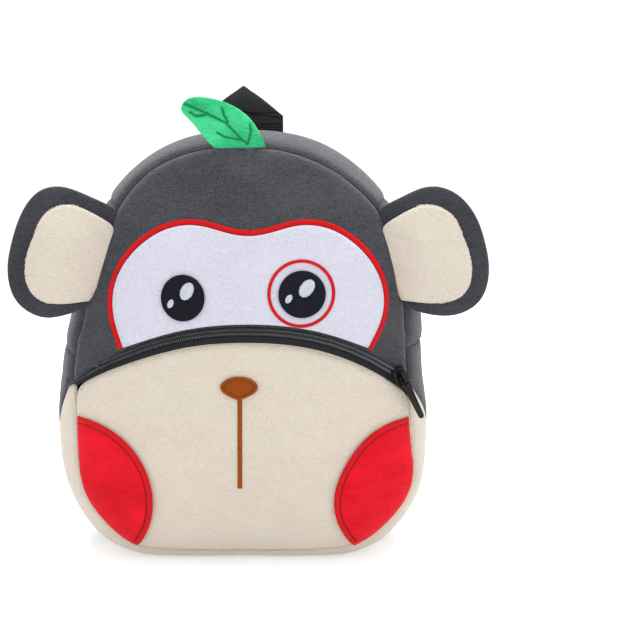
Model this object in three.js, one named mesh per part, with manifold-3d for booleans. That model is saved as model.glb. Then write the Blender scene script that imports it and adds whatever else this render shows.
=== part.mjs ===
// A small child's plush monkey backpack: a hollow zipped bag of padded plush with a stitched
// animal face, stuffed ears, a leaf, a webbing grab loop and two padded shoulder straps.
// Units are millimetres, +Z is up, the face looks along -Y, and the origin is the middle of the base.

import * as THREE from "three";
import { mergeVertices } from "three/addons/utils/BufferGeometryUtils.js";
import Module from "manifold-3d";

// Driving dimensions
const HALF_DEPTH = 38; // from the front or back seam to the middle of the side band
const WALL = 3; // plush, wadding and lining together
const SEAM_GAP = 0.7; // between two sewn edges
const LIFT = 0.7; // under a patch that is sewn on
const FRONT_RISE = 17; // how far the stuffed front stands out of its seam
const BACK_RISE = 5;
const BAND_BULGE = { foot: 17, side: 13, crown: 8 }; // how far the side band stands out of its seams
const EDGE_ROLL = 3; // extra step where the cloth rolls into a seam
const BULGE_CENTRE = { x: 0, z: 98 }; // where the front and back stand out furthest

// The stuffing leans the head to its left above the zip, and the front of the crown back again.
const SWAY = { head: 3, from: 112, to: 157, crown: -4.5, crownFrom: 205, crownTo: 247 };

// Where the front is stuffed fuller, and how far that moves the cloth along an axis: most at the height z,
// fading below and above it, and across from where it begins and is full to where it fades and is gone.
const FULLNESS = [
  { at: "left seam", axis: "x", by: -5.4, side: -1, z: 130, below: 22, above: 38, across: [79, 92, 102, 122] },
  { at: "left zip end", axis: "z", by: 4.6, side: -1, z: 104, below: 9, above: 15, across: [40, 80, 130, 150] },
  { at: "left corner", axis: "z", by: -5.5, side: -1, z: 118, below: 9, above: 26, across: [80, 96, 130, 150] },
  { at: "right jowl", axis: "x", by: 4.8, side: 1, z: 50, below: 60, above: 24, across: [50, 63, 102, 122] },
];

// Half of the outline that the front and back seams follow, from the crown to the base.
const SEAM_OUTLINE = [
  { at: "crown", x: 0, z: 246.6 },
  { at: "parting", x: 29, z: 243.8 },
  { at: "brow", x: 46.5, z: 237 },
  { at: "temple", x: 63, z: 225 },
  { at: "ear_top", x: 75.5, z: 210.5 },
  { at: "ear_root", x: 86, z: 180 },
  { at: "ear_foot", x: 92.2, z: 145 },
  { at: "zip_end", x: 97.8, z: 104 },
  { at: "cheek", x: 98.8, z: 72 },
  { at: "jowl", x: 96.4, z: 46 },
  { at: "hip", x: 87, z: 29 },
  { at: "heel", x: 66, z: 10.2 },
  { at: "sole", x: 40, z: 6.8 },
  { at: "base", x: 0, z: 6.4 },
];

// Heights where the side band changes cloth
const CROWN_SEAM_Z = 212;
const SIDE_SEAM_Z = 131;
const CREAM_TOP_Z = 108;
const CREAM_FULL_Z = 66;
const CREAM_SHARE = 0.44; // of the band's depth, where the cream strip is full

// The zip's arch across the front
const ZIP = { apexZ: 142.1, drop: 31, half: 94, power: 2.3, halfWidth: 4.8, teeth: 1.9, points: 17 };

// Half of the white eye mask's outline above the zip, from the dip between the eyes outwards
const MASK_OUTLINE = [
  { at: "dip", x: 0, z: 196.8 },
  { at: "inner", x: 11.5, z: 198.4 },
  { at: "rise", x: 22, z: 201.9 },
  { at: "top", x: 33, z: 203.5 },
  { at: "shoulder", x: 46, z: 201.2 },
  { at: "brow", x: 58, z: 194.3 },
  { at: "temple", x: 67.6, z: 185 },
  { at: "side_high", x: 74.4, z: 174 },
  { at: "side", x: 77.4, z: 161.6 },
  { at: "side_low", x: 76.2, z: 149 },
  { at: "foot", x: 69.6, z: 133.6 },
];
const MASK_THICK = 1.2;
const BORDER_WIDTH = 3;

const EYES = [
  { name: "left", x: -36.7, z: 162.9, halfWidth: 12.5, halfHeight: 13.2 },
  { name: "right", x: 30, z: 165, halfWidth: 13.5, halfHeight: 13.4 },
];
const EYE_RING = { x: 29.6, z: 165.3, inner: 17.3, outer: 19.1 };
const NOSE = { x: -2.3, z: 112, halfWidth: 10.8, top: 6.5, bottom: 7.3, taper: 2.1 };
const MOUTH = { x: -1.8, top: 104.6, bottom: 51.8, halfWidth: 1.4 };
const CHEEK = { x: 96, z: 42.5, halfWidth: 44, halfHeight: 48, margin: 1.6 };

// Right ear's outline, from the top of its root outwards and round to the foot of its root.
// lining is how far towards each point the cream patch on its front reaches, as a share.
const EAR_OUTLINE = [
  { at: "root_top", x: 75.4, z: 212, lining: 0.75 },
  { at: "neck", x: 89.2, z: 219.2, lining: 0.8 },
  { at: "shoulder", x: 103, z: 224.7, lining: 0.72 },
  { at: "top", x: 116.2, z: 222.6, lining: 0.66 },
  { at: "corner", x: 128, z: 211, lining: 0.61 },
  { at: "outer_high", x: 135.5, z: 191, lining: 0.61 },
  { at: "outer_low", x: 138.2, z: 175.6, lining: 0.63 },
  { at: "turn", x: 135, z: 160.6, lining: 0.68 },
  { at: "bottom", x: 125.5, z: 152.4, lining: 0.73 },
  { at: "underside", x: 112.3, z: 149.6, lining: 0.75 },
  { at: "root_foot", x: 91.8, z: 153.6, lining: 0.865 },
];
const EAR = { x: 106, z: 186, forward: 2.6, edge: 1.6, puff: 6.5, rootGap: 0.8 };
const EAR_LINING = { thick: 1.2, rootShare: 0.97 };

// The leaf's outline, from its left root over the tip to its right root
const LEAF_OUTLINE = [
  { at: "root_left", x: -15, z: 246.4 },
  { at: "lower", x: -22, z: 253.4 },
  { at: "notch", x: -26.4, z: 259 },
  { at: "under_tip", x: -31.8, z: 264.2 },
  { at: "tip", x: -33.3, z: 267.6 },
  { at: "over_tip", x: -30.6, z: 271.9 },
  { at: "top", x: -23.6, z: 274 },
  { at: "shoulder", x: -5.7, z: 269.8 },
  { at: "upper", x: 6.8, z: 260.9 },
  { at: "root_right", x: 15, z: 247 },
];
const LEAF = { x: -9, z: 259, forward: 2.3, edge: 1.2, puff: 1.8 };

// Webbing and the grab loop, a strip folded into a gable that droops backwards
const WEBBING = { width: 23.6, thick: 1.4 };
const HANDLE = { x: 0.4, slot: 3.2, slotTop: 22, shoulder: 23.5, apex: 48, leanLow: 0.15, leanHigh: 1.1 };

// Right shoulder strap's padded part, from the top seam down
const STRAP_SECTIONS = [
  { at: "root", x: 25.6, y: 41.4, z: 244.8, width: 46, thick: 3.6 },
  { at: "roll", x: 25.8, y: 47, z: 245.4, width: 47, thick: 5.6 },
  { at: "shoulder", x: 27.4, y: 55.5, z: 238, width: 48.5, thick: 8 },
  { at: "blade", x: 32.4, y: 60.5, z: 206, width: 50.5, thick: 9 },
  { at: "middle", x: 38.4, y: 62, z: 158, width: 51.5, thick: 9 },
  { at: "waist", x: 43.6, y: 60, z: 108, width: 50.5, thick: 9 },
  { at: "low", x: 46.4, y: 57.8, z: 72, width: 50, thick: 8.4 },
  { at: "corner", x: 46.8, y: 56.6, z: 60, width: 46, thick: 7 },
  { at: "end", x: 47, y: 56, z: 56.4, width: 37, thick: 4.6 },
];

// Ladder buckle, with its bars and slots as heights above the floor
const BUCKLE = {
  x: 47.2,
  y: 54.4,
  width: 30,
  thick: 3.5,
  top: 47,
  tabTop: 18.4,
  tabBottom: 10.6,
  tabHalfWidth: 7,
};
const BUCKLE_SLOTS = [
  { holds: "sewn webbing", low: 41.2, high: 43.8, width: 24.8 },
  { holds: "webbing going out", low: 35.4, high: 39.2, width: 25.2 },
  { holds: "webbing coming back", low: 20.2, high: 32, width: 25.6 },
];

// Side views of the two webbing runs: out is behind the buckle's inner face, up is above the floor
const SEWN_LOOP_PATH = [
  { at: "pad_inner", out: 0.8, up: 55 },
  { at: "inner", out: -0.8, up: 50 },
  { at: "bar_inner", out: -1.2, up: 44.8 },
  { at: "inner_turn", out: -0.5, up: 42.9 },
  { at: "slot", out: 1.75, up: 42.3 },
  { at: "outer_turn", out: 4, up: 42.9 },
  { at: "bar_outer", out: 4.7, up: 44.8 },
  { at: "outer", out: 4.3, up: 50 },
  { at: "pad_outer", out: 2.6, up: 55 },
];
const LOWER_RUN_PATH = [
  { at: "base_seam", out: -15, up: 5 },
  { at: "rise", out: -9.4, up: 8.6 },
  { at: "turn", out: -4.8, up: 17 },
  { at: "behind", out: -2.6, up: 27 },
  { at: "under_bar", out: -1.7, up: 34 },
  { at: "up_through", out: -0.6, up: 36.5 },
  { at: "through", out: 1.75, up: 37.4 },
  { at: "down_through", out: 4.1, up: 36.5 },
  { at: "over_bar", out: 4.9, up: 34 },
  { at: "down", out: 4.5, up: 31 },
  { at: "back_in", out: 2.9, up: 29.2 },
  { at: "tail", out: 1.2, up: 22.2 },
];

// Zip slider and pull, in the slider's own frame: along the zip, across it, and out of the cloth
const SLIDER = { x: 89.8, dip: 60, width: 8, length: 10, thick: 2.4, bridgeWidth: 2.2, seat: 1.3 };
const BRIDGE = { length: 7, height: 3.4, windowLength: 4, windowHeight: 2.2 };
const PULL = { width: 5.2, tip: 3.2, length: 29.5, thick: 1.3, bar: 1.3, holeWidth: 3.4, holeLength: 4.6 };

const COLOURS = {
  plush_dark: { color: 0x47484c, roughness: 0.95 },
  plush_cream: { color: 0xe2d8c8, roughness: 0.95 },
  felt_white: { color: 0xe6e6f0, roughness: 0.9 },
  thread_red: { color: 0xdc2a33, roughness: 0.6 },
  plush_red: { color: 0xee2b44, roughness: 0.9 },
  thread_black: { color: 0x22242f, roughness: 0.6 },
  thread_brown: { color: 0x9b4e1b, roughness: 0.6 },
  plush_green: { color: 0x3fcf86, roughness: 0.95 },
  webbing_black: { color: 0x242529, roughness: 0.8 },
  plastic_black: { color: 0x1d1d20, roughness: 0.45 },
};

const share = (i, count) => i / (count - 1);
const span = (count, low, high) =>
  Array.from({ length: count }, (_, i) => low + share(i, count) * (high - low));
const { clamp, lerp, smoothstep } = THREE.MathUtils;

const wasm = await Module();
wasm.setup();
const bag = new THREE.Group();
bag.name = "plush_monkey_backpack";
const harness = new THREE.Group(); // straps and grab loop, which the stuffing doesn't lean
harness.name = "harness";
bag.add(harness);

// How far the cloth leans sideways at a depth and a height.
function swayAt(y, z) {
  const front = smoothstep(-y, 0, HALF_DEPTH) * smoothstep(z, SWAY.crownFrom, SWAY.crownTo);
  return SWAY.head * smoothstep(z, SWAY.from, SWAY.to) + SWAY.crown * front;
}

// How far the fuller stuffing moves the cloth along an axis at a place.
function fullnessAt(axis, x, y, z) {
  const moves = FULLNESS.filter((fuller) => fuller.axis === axis).map((fuller) => {
    const above = z - fuller.z;
    const byHeight = Math.exp(-((above / (above < 0 ? fuller.below : fuller.above)) ** 2));
    const [begun, full, fading, gone] = fuller.across;
    const byWidth = smoothstep(x * fuller.side, begun, full) - smoothstep(x * fuller.side, fading, gone);
    return fuller.by * byHeight * byWidth;
  });
  return moves.reduce((sum, move) => sum + move, 0) * smoothstep(-y, 0, HALF_DEPTH);
}

// Adds a named piece in one of the listed finishes. Only what belongs to the bag's own body leans with it.
function addPiece(name, geometry, finish, parent = bag) {
  const at = geometry.attributes.position;
  for (let i = 0; parent === bag && i < at.count; i++) {
    const [x, y, z] = [at.getX(i), at.getY(i), at.getZ(i)];
    at.setX(i, x + swayAt(y, z) + fullnessAt("x", x, y, z));
    at.setZ(i, z + fullnessAt("z", x, y, z));
  }
  geometry.computeVertexNormals();
  const mesh = new THREE.Mesh(geometry, new THREE.MeshStandardMaterial({ metalness: 0, ...COLOURS[finish] }));
  mesh.name = name;
  parent.add(mesh);
  return mesh;
}

// Adds a piece of the right side and its mirror image on the left.
function addPair(name, geometry, finish, parent = bag) {
  const twin = geometry.clone().scale(-1, 1, 1);
  const at = twin.attributes.position;
  for (let i = 0; i < at.count; i += 3) {
    const [b, c] = [1, 2].map((k) => new THREE.Vector3().fromBufferAttribute(at, i + k));
    at.setXYZ(i + 1, ...c);
    at.setXYZ(i + 2, ...b);
  }
  addPiece(`${name}_right`, geometry, finish, parent);
  addPiece(`${name}_left`, twin, finish, parent);
}

// A closed geometry from triangles given as corner triples, turned so that its faces point out.
function geometryOf(triangles) {
  const kept = triangles.filter(([a, b, c]) => !a.equals(b) && !b.equals(c) && !c.equals(a));
  const volume = kept.reduce((sum, [a, b, c]) => sum + a.dot(b.clone().cross(c)), 0);
  const corners = kept.flatMap(([a, b, c]) => (volume < 0 ? [a, c, b] : [a, b, c]));
  const geometry = new THREE.BufferGeometry().setFromPoints(corners);
  geometry.computeVertexNormals();
  return geometry;
}

// The two triangles of each cell between neighbouring rows of points.
function stitchRows(rows, closed) {
  const triangles = [];
  for (let j = 0; j + 1 < rows.length; j++) {
    const count = rows[j].length;
    for (let i = 0; i < (closed ? count : count - 1); i++) {
      const next = (i + 1) % count;
      triangles.push([rows[j][i], rows[j][next], rows[j + 1][next]]);
      triangles.push([rows[j][i], rows[j + 1][next], rows[j + 1][i]]);
    }
  }
  return triangles;
}

// A wall between two sheets of points laid out alike. Closed rows run right round.
function wallBetween(outer, inner, closed) {
  const last = outer.length - 1;
  const triangles = [...stitchRows(outer, closed), ...stitchRows([...inner].reverse(), closed)];
  triangles.push(...stitchRows([inner[0], outer[0]], closed));
  triangles.push(...stitchRows([outer[last], inner[last]], closed));
  if (!closed) {
    const end = outer[0].length - 1;
    triangles.push(...stitchRows([outer.map((row) => row[0]), inner.map((row) => row[0])], false));
    triangles.push(...stitchRows([inner.map((row) => row[end]), outer.map((row) => row[end])], false));
  }
  return geometryOf(triangles);
}

// A tube through closed rings of points, with a flat fan over each end.
function loftRings(rings) {
  const cap = (ring) => {
    const middle = ring.reduce((sum, p) => sum.add(p), new THREE.Vector3()).divideScalar(ring.length);
    return ring.map(() => middle);
  };
  return geometryOf(stitchRows([cap(rings[0]), ...rings, cap(rings.at(-1))], true));
}

function manifoldOf(geometry) {
  const bare = geometry.clone();
  bare.deleteAttribute("normal");
  bare.deleteAttribute("uv");
  const merged = mergeVertices(bare, 1e-4);
  const vertProperties = new Float32Array(merged.attributes.position.array);
  const triVerts = new Uint32Array(merged.index.array);
  return new wasm.Manifold(new wasm.Mesh({ numProp: 3, vertProperties, triVerts }));
}

// Two overlapping geometries fused into one solid.
function fuse(a, b) {
  const { vertProperties, triVerts } = manifoldOf(a).add(manifoldOf(b)).getMesh();
  const geometry = new THREE.BufferGeometry();
  geometry.setAttribute("position", new THREE.BufferAttribute(new Float32Array(vertProperties), 3));
  geometry.setIndex([...triVerts]);
  const flat = geometry.toNonIndexed();
  flat.computeVertexNormals();
  return flat;
}

// Points along a smooth open curve through a table's x and z columns.
function smoothRun(table, count) {
  const curve = new THREE.CatmullRomCurve3(table.map((row) => new THREE.Vector3(row.x, 0, row.z)));
  return curve.getPoints(count - 1);
}

const mirrorX = (points) => points.map((p) => new THREE.Vector3(-p.x, p.y, p.z));

// The seam's closed outline runs from the crown down the right side, along the base and up the left.
const seamHalf = SEAM_OUTLINE.map((row) => new THREE.Vector3(row.x, 0, row.z));
const seamCurve = new THREE.CatmullRomCurve3(
  [...seamHalf, ...mirrorX(seamHalf.slice(1, -1)).reverse()],
  true,
  "centripetal",
);
seamCurve.arcLengthDivisions = 600;

const seamPoint = (s) => seamCurve.getPointAt(((s % 1) + 1) % 1);

function seamOutward(s) {
  const along = seamCurve.getTangentAt(((s % 1) + 1) % 1);
  return new THREE.Vector3(-along.z, 0, along.x).normalize();
}

// How far round the right side the seam has come where it passes a height.
function seamShareAt(z) {
  let [low, high] = [0, 0.5];
  for (let i = 0; i < 40; i++) {
    const middle = (low + high) / 2;
    if (seamPoint(middle).z > z) low = middle;
    else high = middle;
  }
  return low;
}

const CROWN_S = seamShareAt(CROWN_SEAM_Z);
const SIDE_S = seamShareAt(SIDE_SEAM_Z);
const CREAM_S = seamShareAt(CREAM_TOP_Z);

// Distance from the bulge's centre to the seam in each direction, sampled once.
const REACH_STEPS = 720;
const reachTable = (() => {
  const samples = span(REACH_STEPS * 2 + 1, 0, 1).map((s) => {
    const p = seamPoint(s);
    const [dx, dz] = [p.x - BULGE_CENTRE.x, p.z - BULGE_CENTRE.z];
    return { angle: Math.atan2(dx, dz), reach: Math.hypot(dx, dz) };
  });
  return samples.sort((a, b) => a.angle - b.angle);
})();

function reachAt(angle) {
  let [low, high] = [0, reachTable.length - 1];
  while (high - low > 1) {
    const middle = (low + high) >> 1;
    if (reachTable[middle].angle <= angle) low = middle;
    else high = middle;
  }
  const [a, b] = [reachTable[low], reachTable[high]];
  const t = b.angle > a.angle ? (angle - a.angle) / (b.angle - a.angle) : 0;
  return a.reach + t * (b.reach - a.reach);
}

// Height of a stuffed panel above its seam plane, falling to nothing at the seam.
function panelRise(x, z, rise, roundness) {
  const [dx, dz] = [x - BULGE_CENTRE.x, z - BULGE_CENTRE.z];
  const r = Math.min(1, Math.hypot(dx, dz) / reachAt(Math.atan2(dx, dz)));
  return rise * (1 - r ** roundness) + EDGE_ROLL * (1 - r ** 24);
}

const onFront = (x, z, height) =>
  new THREE.Vector3(x, -HALF_DEPTH - SEAM_GAP - panelRise(x, z, FRONT_RISE, 2.6) - height, z);
const onBack = (x, z, height) =>
  new THREE.Vector3(x, HALF_DEPTH + SEAM_GAP + panelRise(x, z, BACK_RISE, 4) + height, z);

// A patch of cloth laid on a surface: rings shrink from its outline to its centre.
// sewnIn tells which outline points end in a seam, where the inner face is pulled in.
function patch({ outline, centre, rings, surface, lift, thick, sewnIn = () => false }) {
  const place = (p, r, height) =>
    surface(centre.x + r * (p.x - centre.x), centre.z + r * (p.z - centre.z), height);
  const innerReach = (p, i) =>
    sewnIn(i) ? 1 - (0.8 * WALL) / Math.hypot(p.x - centre.x, p.z - centre.z) : 1;
  const outer = rings.map((r) => outline.map((p) => place(p, r, lift + thick)));
  const inner = rings.map((r) =>
    outline.map((p, i) => place(p, Math.min(r, innerReach(p, i)), lift)),
  );
  return wallBetween(outer, inner, true);
}

const WALL_RINGS = [0, 0.35, 0.65, 0.86, 0.96, 1];
const MASK_RINGS = [0, 0.3, 0.6, 0.85, 1];
const PATCH_RINGS = [0, 0.4, 0.75, 1];

const zipZ = (x, offset) => ZIP.apexZ - ZIP.drop * (Math.abs(x) / ZIP.half) ** ZIP.power + offset;

// Where the zip's line at an offset runs into the right side of the seam.
function zipEnd(offset) {
  let [low, high] = [SIDE_S - 0.05, 0.5];
  for (let i = 0; i < 40; i++) {
    const middle = (low + high) / 2;
    const p = seamPoint(middle);
    if (p.z > zipZ(p.x, offset)) low = middle;
    else high = middle;
  }
  return low;
}

const zipRun = (offset, count, margin) => {
  const reach = seamPoint(zipEnd(offset)).x - margin;
  return span(count, -reach, reach).map((x) => new THREE.Vector3(x, 0, zipZ(x, offset)));
};

// Dark upper face, cream muzzle and dark back
function buildPanels() {
  const seamCount = 29;
  const faceEdge = ZIP.halfWidth + SEAM_GAP;
  const faceEnd = zipEnd(faceEdge);
  const faceSeam = span(seamCount, faceEnd, -faceEnd).map(seamPoint);
  const faceZip = zipRun(faceEdge, ZIP.points, 0).slice(1, -1);
  const face = patch({
    outline: [...faceSeam, ...faceZip],
    centre: { x: 0, z: 186 },
    rings: WALL_RINGS,
    surface: onFront,
    lift: -WALL,
    thick: WALL,
    sewnIn: (i) => i < seamCount,
  });
  addPiece("face_panel", face, "plush_dark");

  const muzzleEnd = zipEnd(-faceEdge);
  const muzzleSeam = span(seamCount, muzzleEnd, 1 - muzzleEnd).map(seamPoint);
  const muzzleZip = zipRun(-faceEdge, ZIP.points, 0).slice(1, -1);
  const muzzle = patch({
    outline: [...muzzleSeam, ...muzzleZip],
    centre: { x: 0, z: 66 },
    rings: WALL_RINGS,
    surface: onFront,
    lift: -WALL,
    thick: WALL,
    sewnIn: (i) => i < seamCount,
  });
  addPiece("muzzle_panel", muzzle, "plush_cream");

  const back = patch({
    outline: span(45, 0, 1).slice(1).map(seamPoint),
    centre: { x: 0, z: 110 },
    rings: WALL_RINGS,
    surface: onBack,
    lift: -WALL,
    thick: WALL,
    sewnIn: () => true,
  });
  addPiece("back_panel", back, "plush_dark");
}

// The side band rolls out of both seams and lies flat where it meets the floor.
function bandPoint(s, v, inset) {
  const p = seamPoint(s);
  const low = lerp(BAND_BULGE.foot, BAND_BULGE.side, smoothstep(p.z, 10, 48));
  const bulge = lerp(low, BAND_BULGE.crown, smoothstep(p.z, 140, 220));
  const rise = bulge * Math.sin(Math.PI * v) + EDGE_ROLL * (1 - Math.abs(2 * v - 1) ** 16) - inset;
  p.addScaledVector(seamOutward(s), rise);
  return new THREE.Vector3(p.x, HALF_DEPTH * (2 * v - 1), Math.max(p.z, inset));
}

// A length of side band. Its depth runs from frontAt(s) to backAt(s), as shares of the whole.
function band(shares, depthSteps, frontAt, backAt) {
  const edge = (0.8 * WALL) / (2 * HALF_DEPTH);
  const sheet = (inset) =>
    shares.map((s) =>
      depthSteps.map((t) => {
        const v = frontAt(s) + t * (backAt(s) - frontAt(s));
        return bandPoint(s, inset ? clamp(v, edge, 1 - edge) : v, inset);
      }),
    );
  return wallBetween(sheet(0), sheet(WALL), false);
}

// Crown, sides and base of the side band, with a cream strip along the lower front
function buildBand() {
  const clear = SEAM_GAP / seamCurve.getLength() / 2;
  const fullDepth = [0, 0.04, 0.14, 0.35, 0.65, 0.86, 0.96, 1];
  const whole = [() => 0, () => 1];
  const crown = span(15, -CROWN_S + clear, CROWN_S - clear);
  addPiece("band_crown", band(crown, fullDepth, ...whole), "plush_dark");
  const side = span(6, CROWN_S + clear, SIDE_S - clear);
  addPiece("band_side_right", band(side, fullDepth, ...whole), "plush_dark");
  addPiece("band_side_left", band(side.map((s) => 1 - s), fullDepth, ...whole), "plush_dark");

  const creamFullS = seamShareAt(CREAM_FULL_Z);
  const creamStart = CREAM_S + 0.1 * (creamFullS - CREAM_S);
  const creamEdge = (s) => {
    const fromRight = Math.min(s, 1 - s);
    return CREAM_SHARE * smoothstep(fromRight, CREAM_S, creamFullS) ** 0.7;
  };
  const gap = SEAM_GAP / (2 * HALF_DEPTH);
  const ramp = span(6, creamStart, creamFullS);
  const lowHalf = [...span(4, SIDE_S + clear, CREAM_S), ...ramp, ...span(12, creamFullS, 0.5).slice(1)];
  const low = [...lowHalf, ...lowHalf.slice(0, -1).reverse().map((s) => 1 - s)];
  const lowDepth = [0, 0.06, 0.3, 0.7, 0.92, 1];
  const darkFront = (s) => (creamEdge(s) > 0 ? creamEdge(s) + gap : 0);
  addPiece("band_base", band(low, lowDepth, darkFront, () => 1), "plush_dark");

  const creamHalf = lowHalf.slice(4);
  const cream = [...creamHalf, ...creamHalf.slice(0, -1).reverse().map((s) => 1 - s)];
  const creamDepth = [0, 0.08, 0.22, 0.5, 1];
  addPiece("band_cream", band(cream, creamDepth, () => 0, creamEdge), "plush_cream");
}

// A strip that follows the zip's arch. heights are how far each line across it stands off the front.
function zipStrip(lines, underside) {
  const margin = 1.2;
  const sheet = (heightOf) =>
    lines.map((line) => zipRun(line.offset, ZIP.points, margin).map((p) => onFront(p.x, p.z, heightOf(line))));
  return wallBetween(sheet((line) => line.height), sheet(() => underside), false);
}

// Zip tapes, with the row of teeth between them as one bead
function buildZip() {
  const tape = (low, high) => [
    { offset: low, height: -0.9 },
    { offset: high, height: -0.9 },
  ];
  const teeth = [-1.7, -1.1, 0, 1.1, 1.7].map((side) => ({
    offset: ZIP.teeth + side,
    height: 0.9 - 0.45 * side ** 2,
  }));
  addPiece("zip_tape_lower", zipStrip(tape(-ZIP.halfWidth, ZIP.teeth - 2), -2.3), "webbing_black");
  addPiece("zip_tape_upper", zipStrip(tape(ZIP.teeth + 2, ZIP.halfWidth), -2.3), "webbing_black");
  addPiece("zip_teeth", zipStrip(teeth, -1.6), "plastic_black");
}

// Slider and pull stand in a frame of their own: X across the zip, Y out of the cloth, Z back up the zip.
function buildSlider() {
  const seat = onFront(SLIDER.x, zipZ(SLIDER.x, ZIP.teeth), SLIDER.seat);
  const step = 0.5;
  const across = onFront(SLIDER.x + step, zipZ(SLIDER.x, ZIP.teeth), SLIDER.seat).sub(seat);
  const up = onFront(SLIDER.x, zipZ(SLIDER.x, ZIP.teeth) + step, SLIDER.seat).sub(seat);
  const out = across.clone().cross(up).normalize();
  const dip = THREE.MathUtils.degToRad(SLIDER.dip);
  const down = across.normalize().multiplyScalar(Math.cos(dip));
  down.addScaledVector(up.normalize(), -Math.sin(dip)).normalize();
  down.addScaledVector(out, -down.dot(out)).normalize();
  const side = down.clone().cross(out);
  const frame = new THREE.Group();
  frame.applyMatrix4(new THREE.Matrix4().makeBasis(side, out, down.clone().negate()).setPosition(seat));
  bag.add(frame);

  const plate = new THREE.BoxGeometry(SLIDER.width, SLIDER.thick, SLIDER.length);
  plate.translate(0, SLIDER.thick / 2, 0);
  const bridgeHalf = BRIDGE.length / 2;
  const arch = rectangle(-bridgeHalf, bridgeHalf, SLIDER.thick - 0.6, SLIDER.thick + BRIDGE.height);
  const windowLow = SLIDER.thick + 0.2;
  const half = BRIDGE.windowLength / 2;
  arch.holes.push(rectangle(-half, half, windowLow, windowLow + BRIDGE.windowHeight));
  const bridge = new THREE.ExtrudeGeometry(arch, { depth: SLIDER.bridgeWidth, bevelEnabled: false });
  bridge.translate(0, 0, -SLIDER.bridgeWidth / 2).rotateY(Math.PI / 2);
  addPiece("zip_slider", fuse(plate, bridge), "plastic_black", frame);

  const axle = windowLow + BRIDGE.windowHeight / 2;
  const tab = taperedTab(PULL.width / 2, PULL.tip / 2, PULL.length, PULL.bar / 2);
  const holeHalf = PULL.holeWidth / 2;
  tab.holes.push(rectangle(-holeHalf, holeHalf, -PULL.bar / 2 - PULL.holeLength, -PULL.bar / 2));
  const pull = new THREE.ExtrudeGeometry(tab, { depth: PULL.thick, bevelEnabled: false, curveSegments: 6 });
  pull.translate(0, 0, -PULL.thick / 2).rotateX(Math.PI / 2);
  addPiece("zip_pull", pull, "plastic_black", frame).position.y = axle;
}

function rectangle(left, right, low, high) {
  const shape = new THREE.Shape();
  shape.moveTo(left, low).lineTo(right, low).lineTo(right, high).lineTo(left, high).closePath();
  return shape;
}

// A tab that hangs from its top edge, tapers and ends in a half circle.
function taperedTab(half, tipHalf, length, top) {
  const shape = new THREE.Shape();
  shape.moveTo(half, top).lineTo(-half, top).lineTo(-tipHalf, tipHalf - length);
  shape.absarc(0, tipHalf - length, tipHalf, Math.PI, 2 * Math.PI, false);
  shape.closePath();
  return shape;
}

const ellipse = (cx, cz, halfWidth, halfHeight, count) =>
  span(count + 1, 0, 2 * Math.PI)
    .slice(1)
    .map((a) => new THREE.Vector3(cx + halfWidth * Math.cos(a), 0, cz + halfHeight * Math.sin(a)));

// Moves each point of a closed outline outwards from its neighbours' chord.
function grow(outline, amount) {
  const count = outline.length;
  const area = outline.reduce((sum, p, i) => {
    const q = outline[(i + 1) % count];
    return sum + p.x * q.z - q.x * p.z;
  }, 0);
  return outline.map((p, i) => {
    const chord = outline[(i + 1) % count].clone().sub(outline[(i + count - 1) % count]).normalize();
    const away = new THREE.Vector3(chord.z, 0, -chord.x).multiplyScalar(Math.sign(area));
    return p.clone().addScaledVector(away, amount);
  });
}

// A ring of stitching on a surface between an inner and an outer line of points.
function stitchedRing(innerLine, outerLine, surface, lift, thick, closed) {
  const lines = [0, 0.5, 1].map((t) => innerLine.map((p, i) => p.clone().lerp(outerLine[i], t)));
  const crown = [0, thick * 0.35, 0];
  const outer = lines.map((line, j) => line.map((p) => surface(p.x, p.z, lift + thick + crown[j])));
  const inner = lines.map((line) => line.map((p) => surface(p.x, p.z, lift)));
  return wallBetween(outer, inner, closed);
}

// White mask with its stitched border, and the stitched eyes on it
function buildEyes() {
  const maskRight = smoothRun(MASK_OUTLINE, 14);
  const arch = [...maskRight.slice().reverse(), ...mirrorX(maskRight.slice(1))];
  const foot = maskRight.at(-1);
  const hem = ZIP.halfWidth + 1.4;
  const bottom = span(13, -foot.x, foot.x).slice(1, -1);
  const hemLine = bottom.map((x) => new THREE.Vector3(x, 0, zipZ(x, hem)));
  const outline = [...arch, ...hemLine];
  const mask = patch({
    outline,
    centre: { x: 0, z: 168 },
    rings: MASK_RINGS,
    surface: onFront,
    lift: LIFT,
    thick: MASK_THICK,
  });
  addPiece("eye_mask", mask, "felt_white");

  const inner = grow(outline, 0.4).slice(0, arch.length);
  const outer = grow(outline, 0.4 + BORDER_WIDTH).slice(0, arch.length);
  for (const line of [inner, outer]) {
    line[0].z = Math.max(line[0].z, zipZ(line[0].x, hem));
    line.at(-1).z = Math.max(line.at(-1).z, zipZ(line.at(-1).x, hem));
  }
  addPiece("mask_border", stitchedRing(inner, outer, onFront, LIFT, 1.3, false), "thread_red");

  const onMask = LIFT + MASK_THICK + LIFT;
  for (const eye of EYES) {
    const pupil = patch({
      outline: ellipse(eye.x, eye.z, eye.halfWidth, eye.halfHeight, 20),
      centre: eye,
      rings: [0, 0.6, 1],
      surface: onFront,
      lift: onMask,
      thick: 0.8,
    });
    addPiece(`pupil_${eye.name}`, pupil, "thread_black");
  }
  const { x, z, inner: ringInner, outer: ringOuter } = EYE_RING;
  const ring = [ringInner, ringOuter].map((radius) => ellipse(x, z, radius, radius, 24));
  addPiece("eye_ring", stitchedRing(...ring, onFront, onMask, 0.7, true), "thread_red");
}

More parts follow.
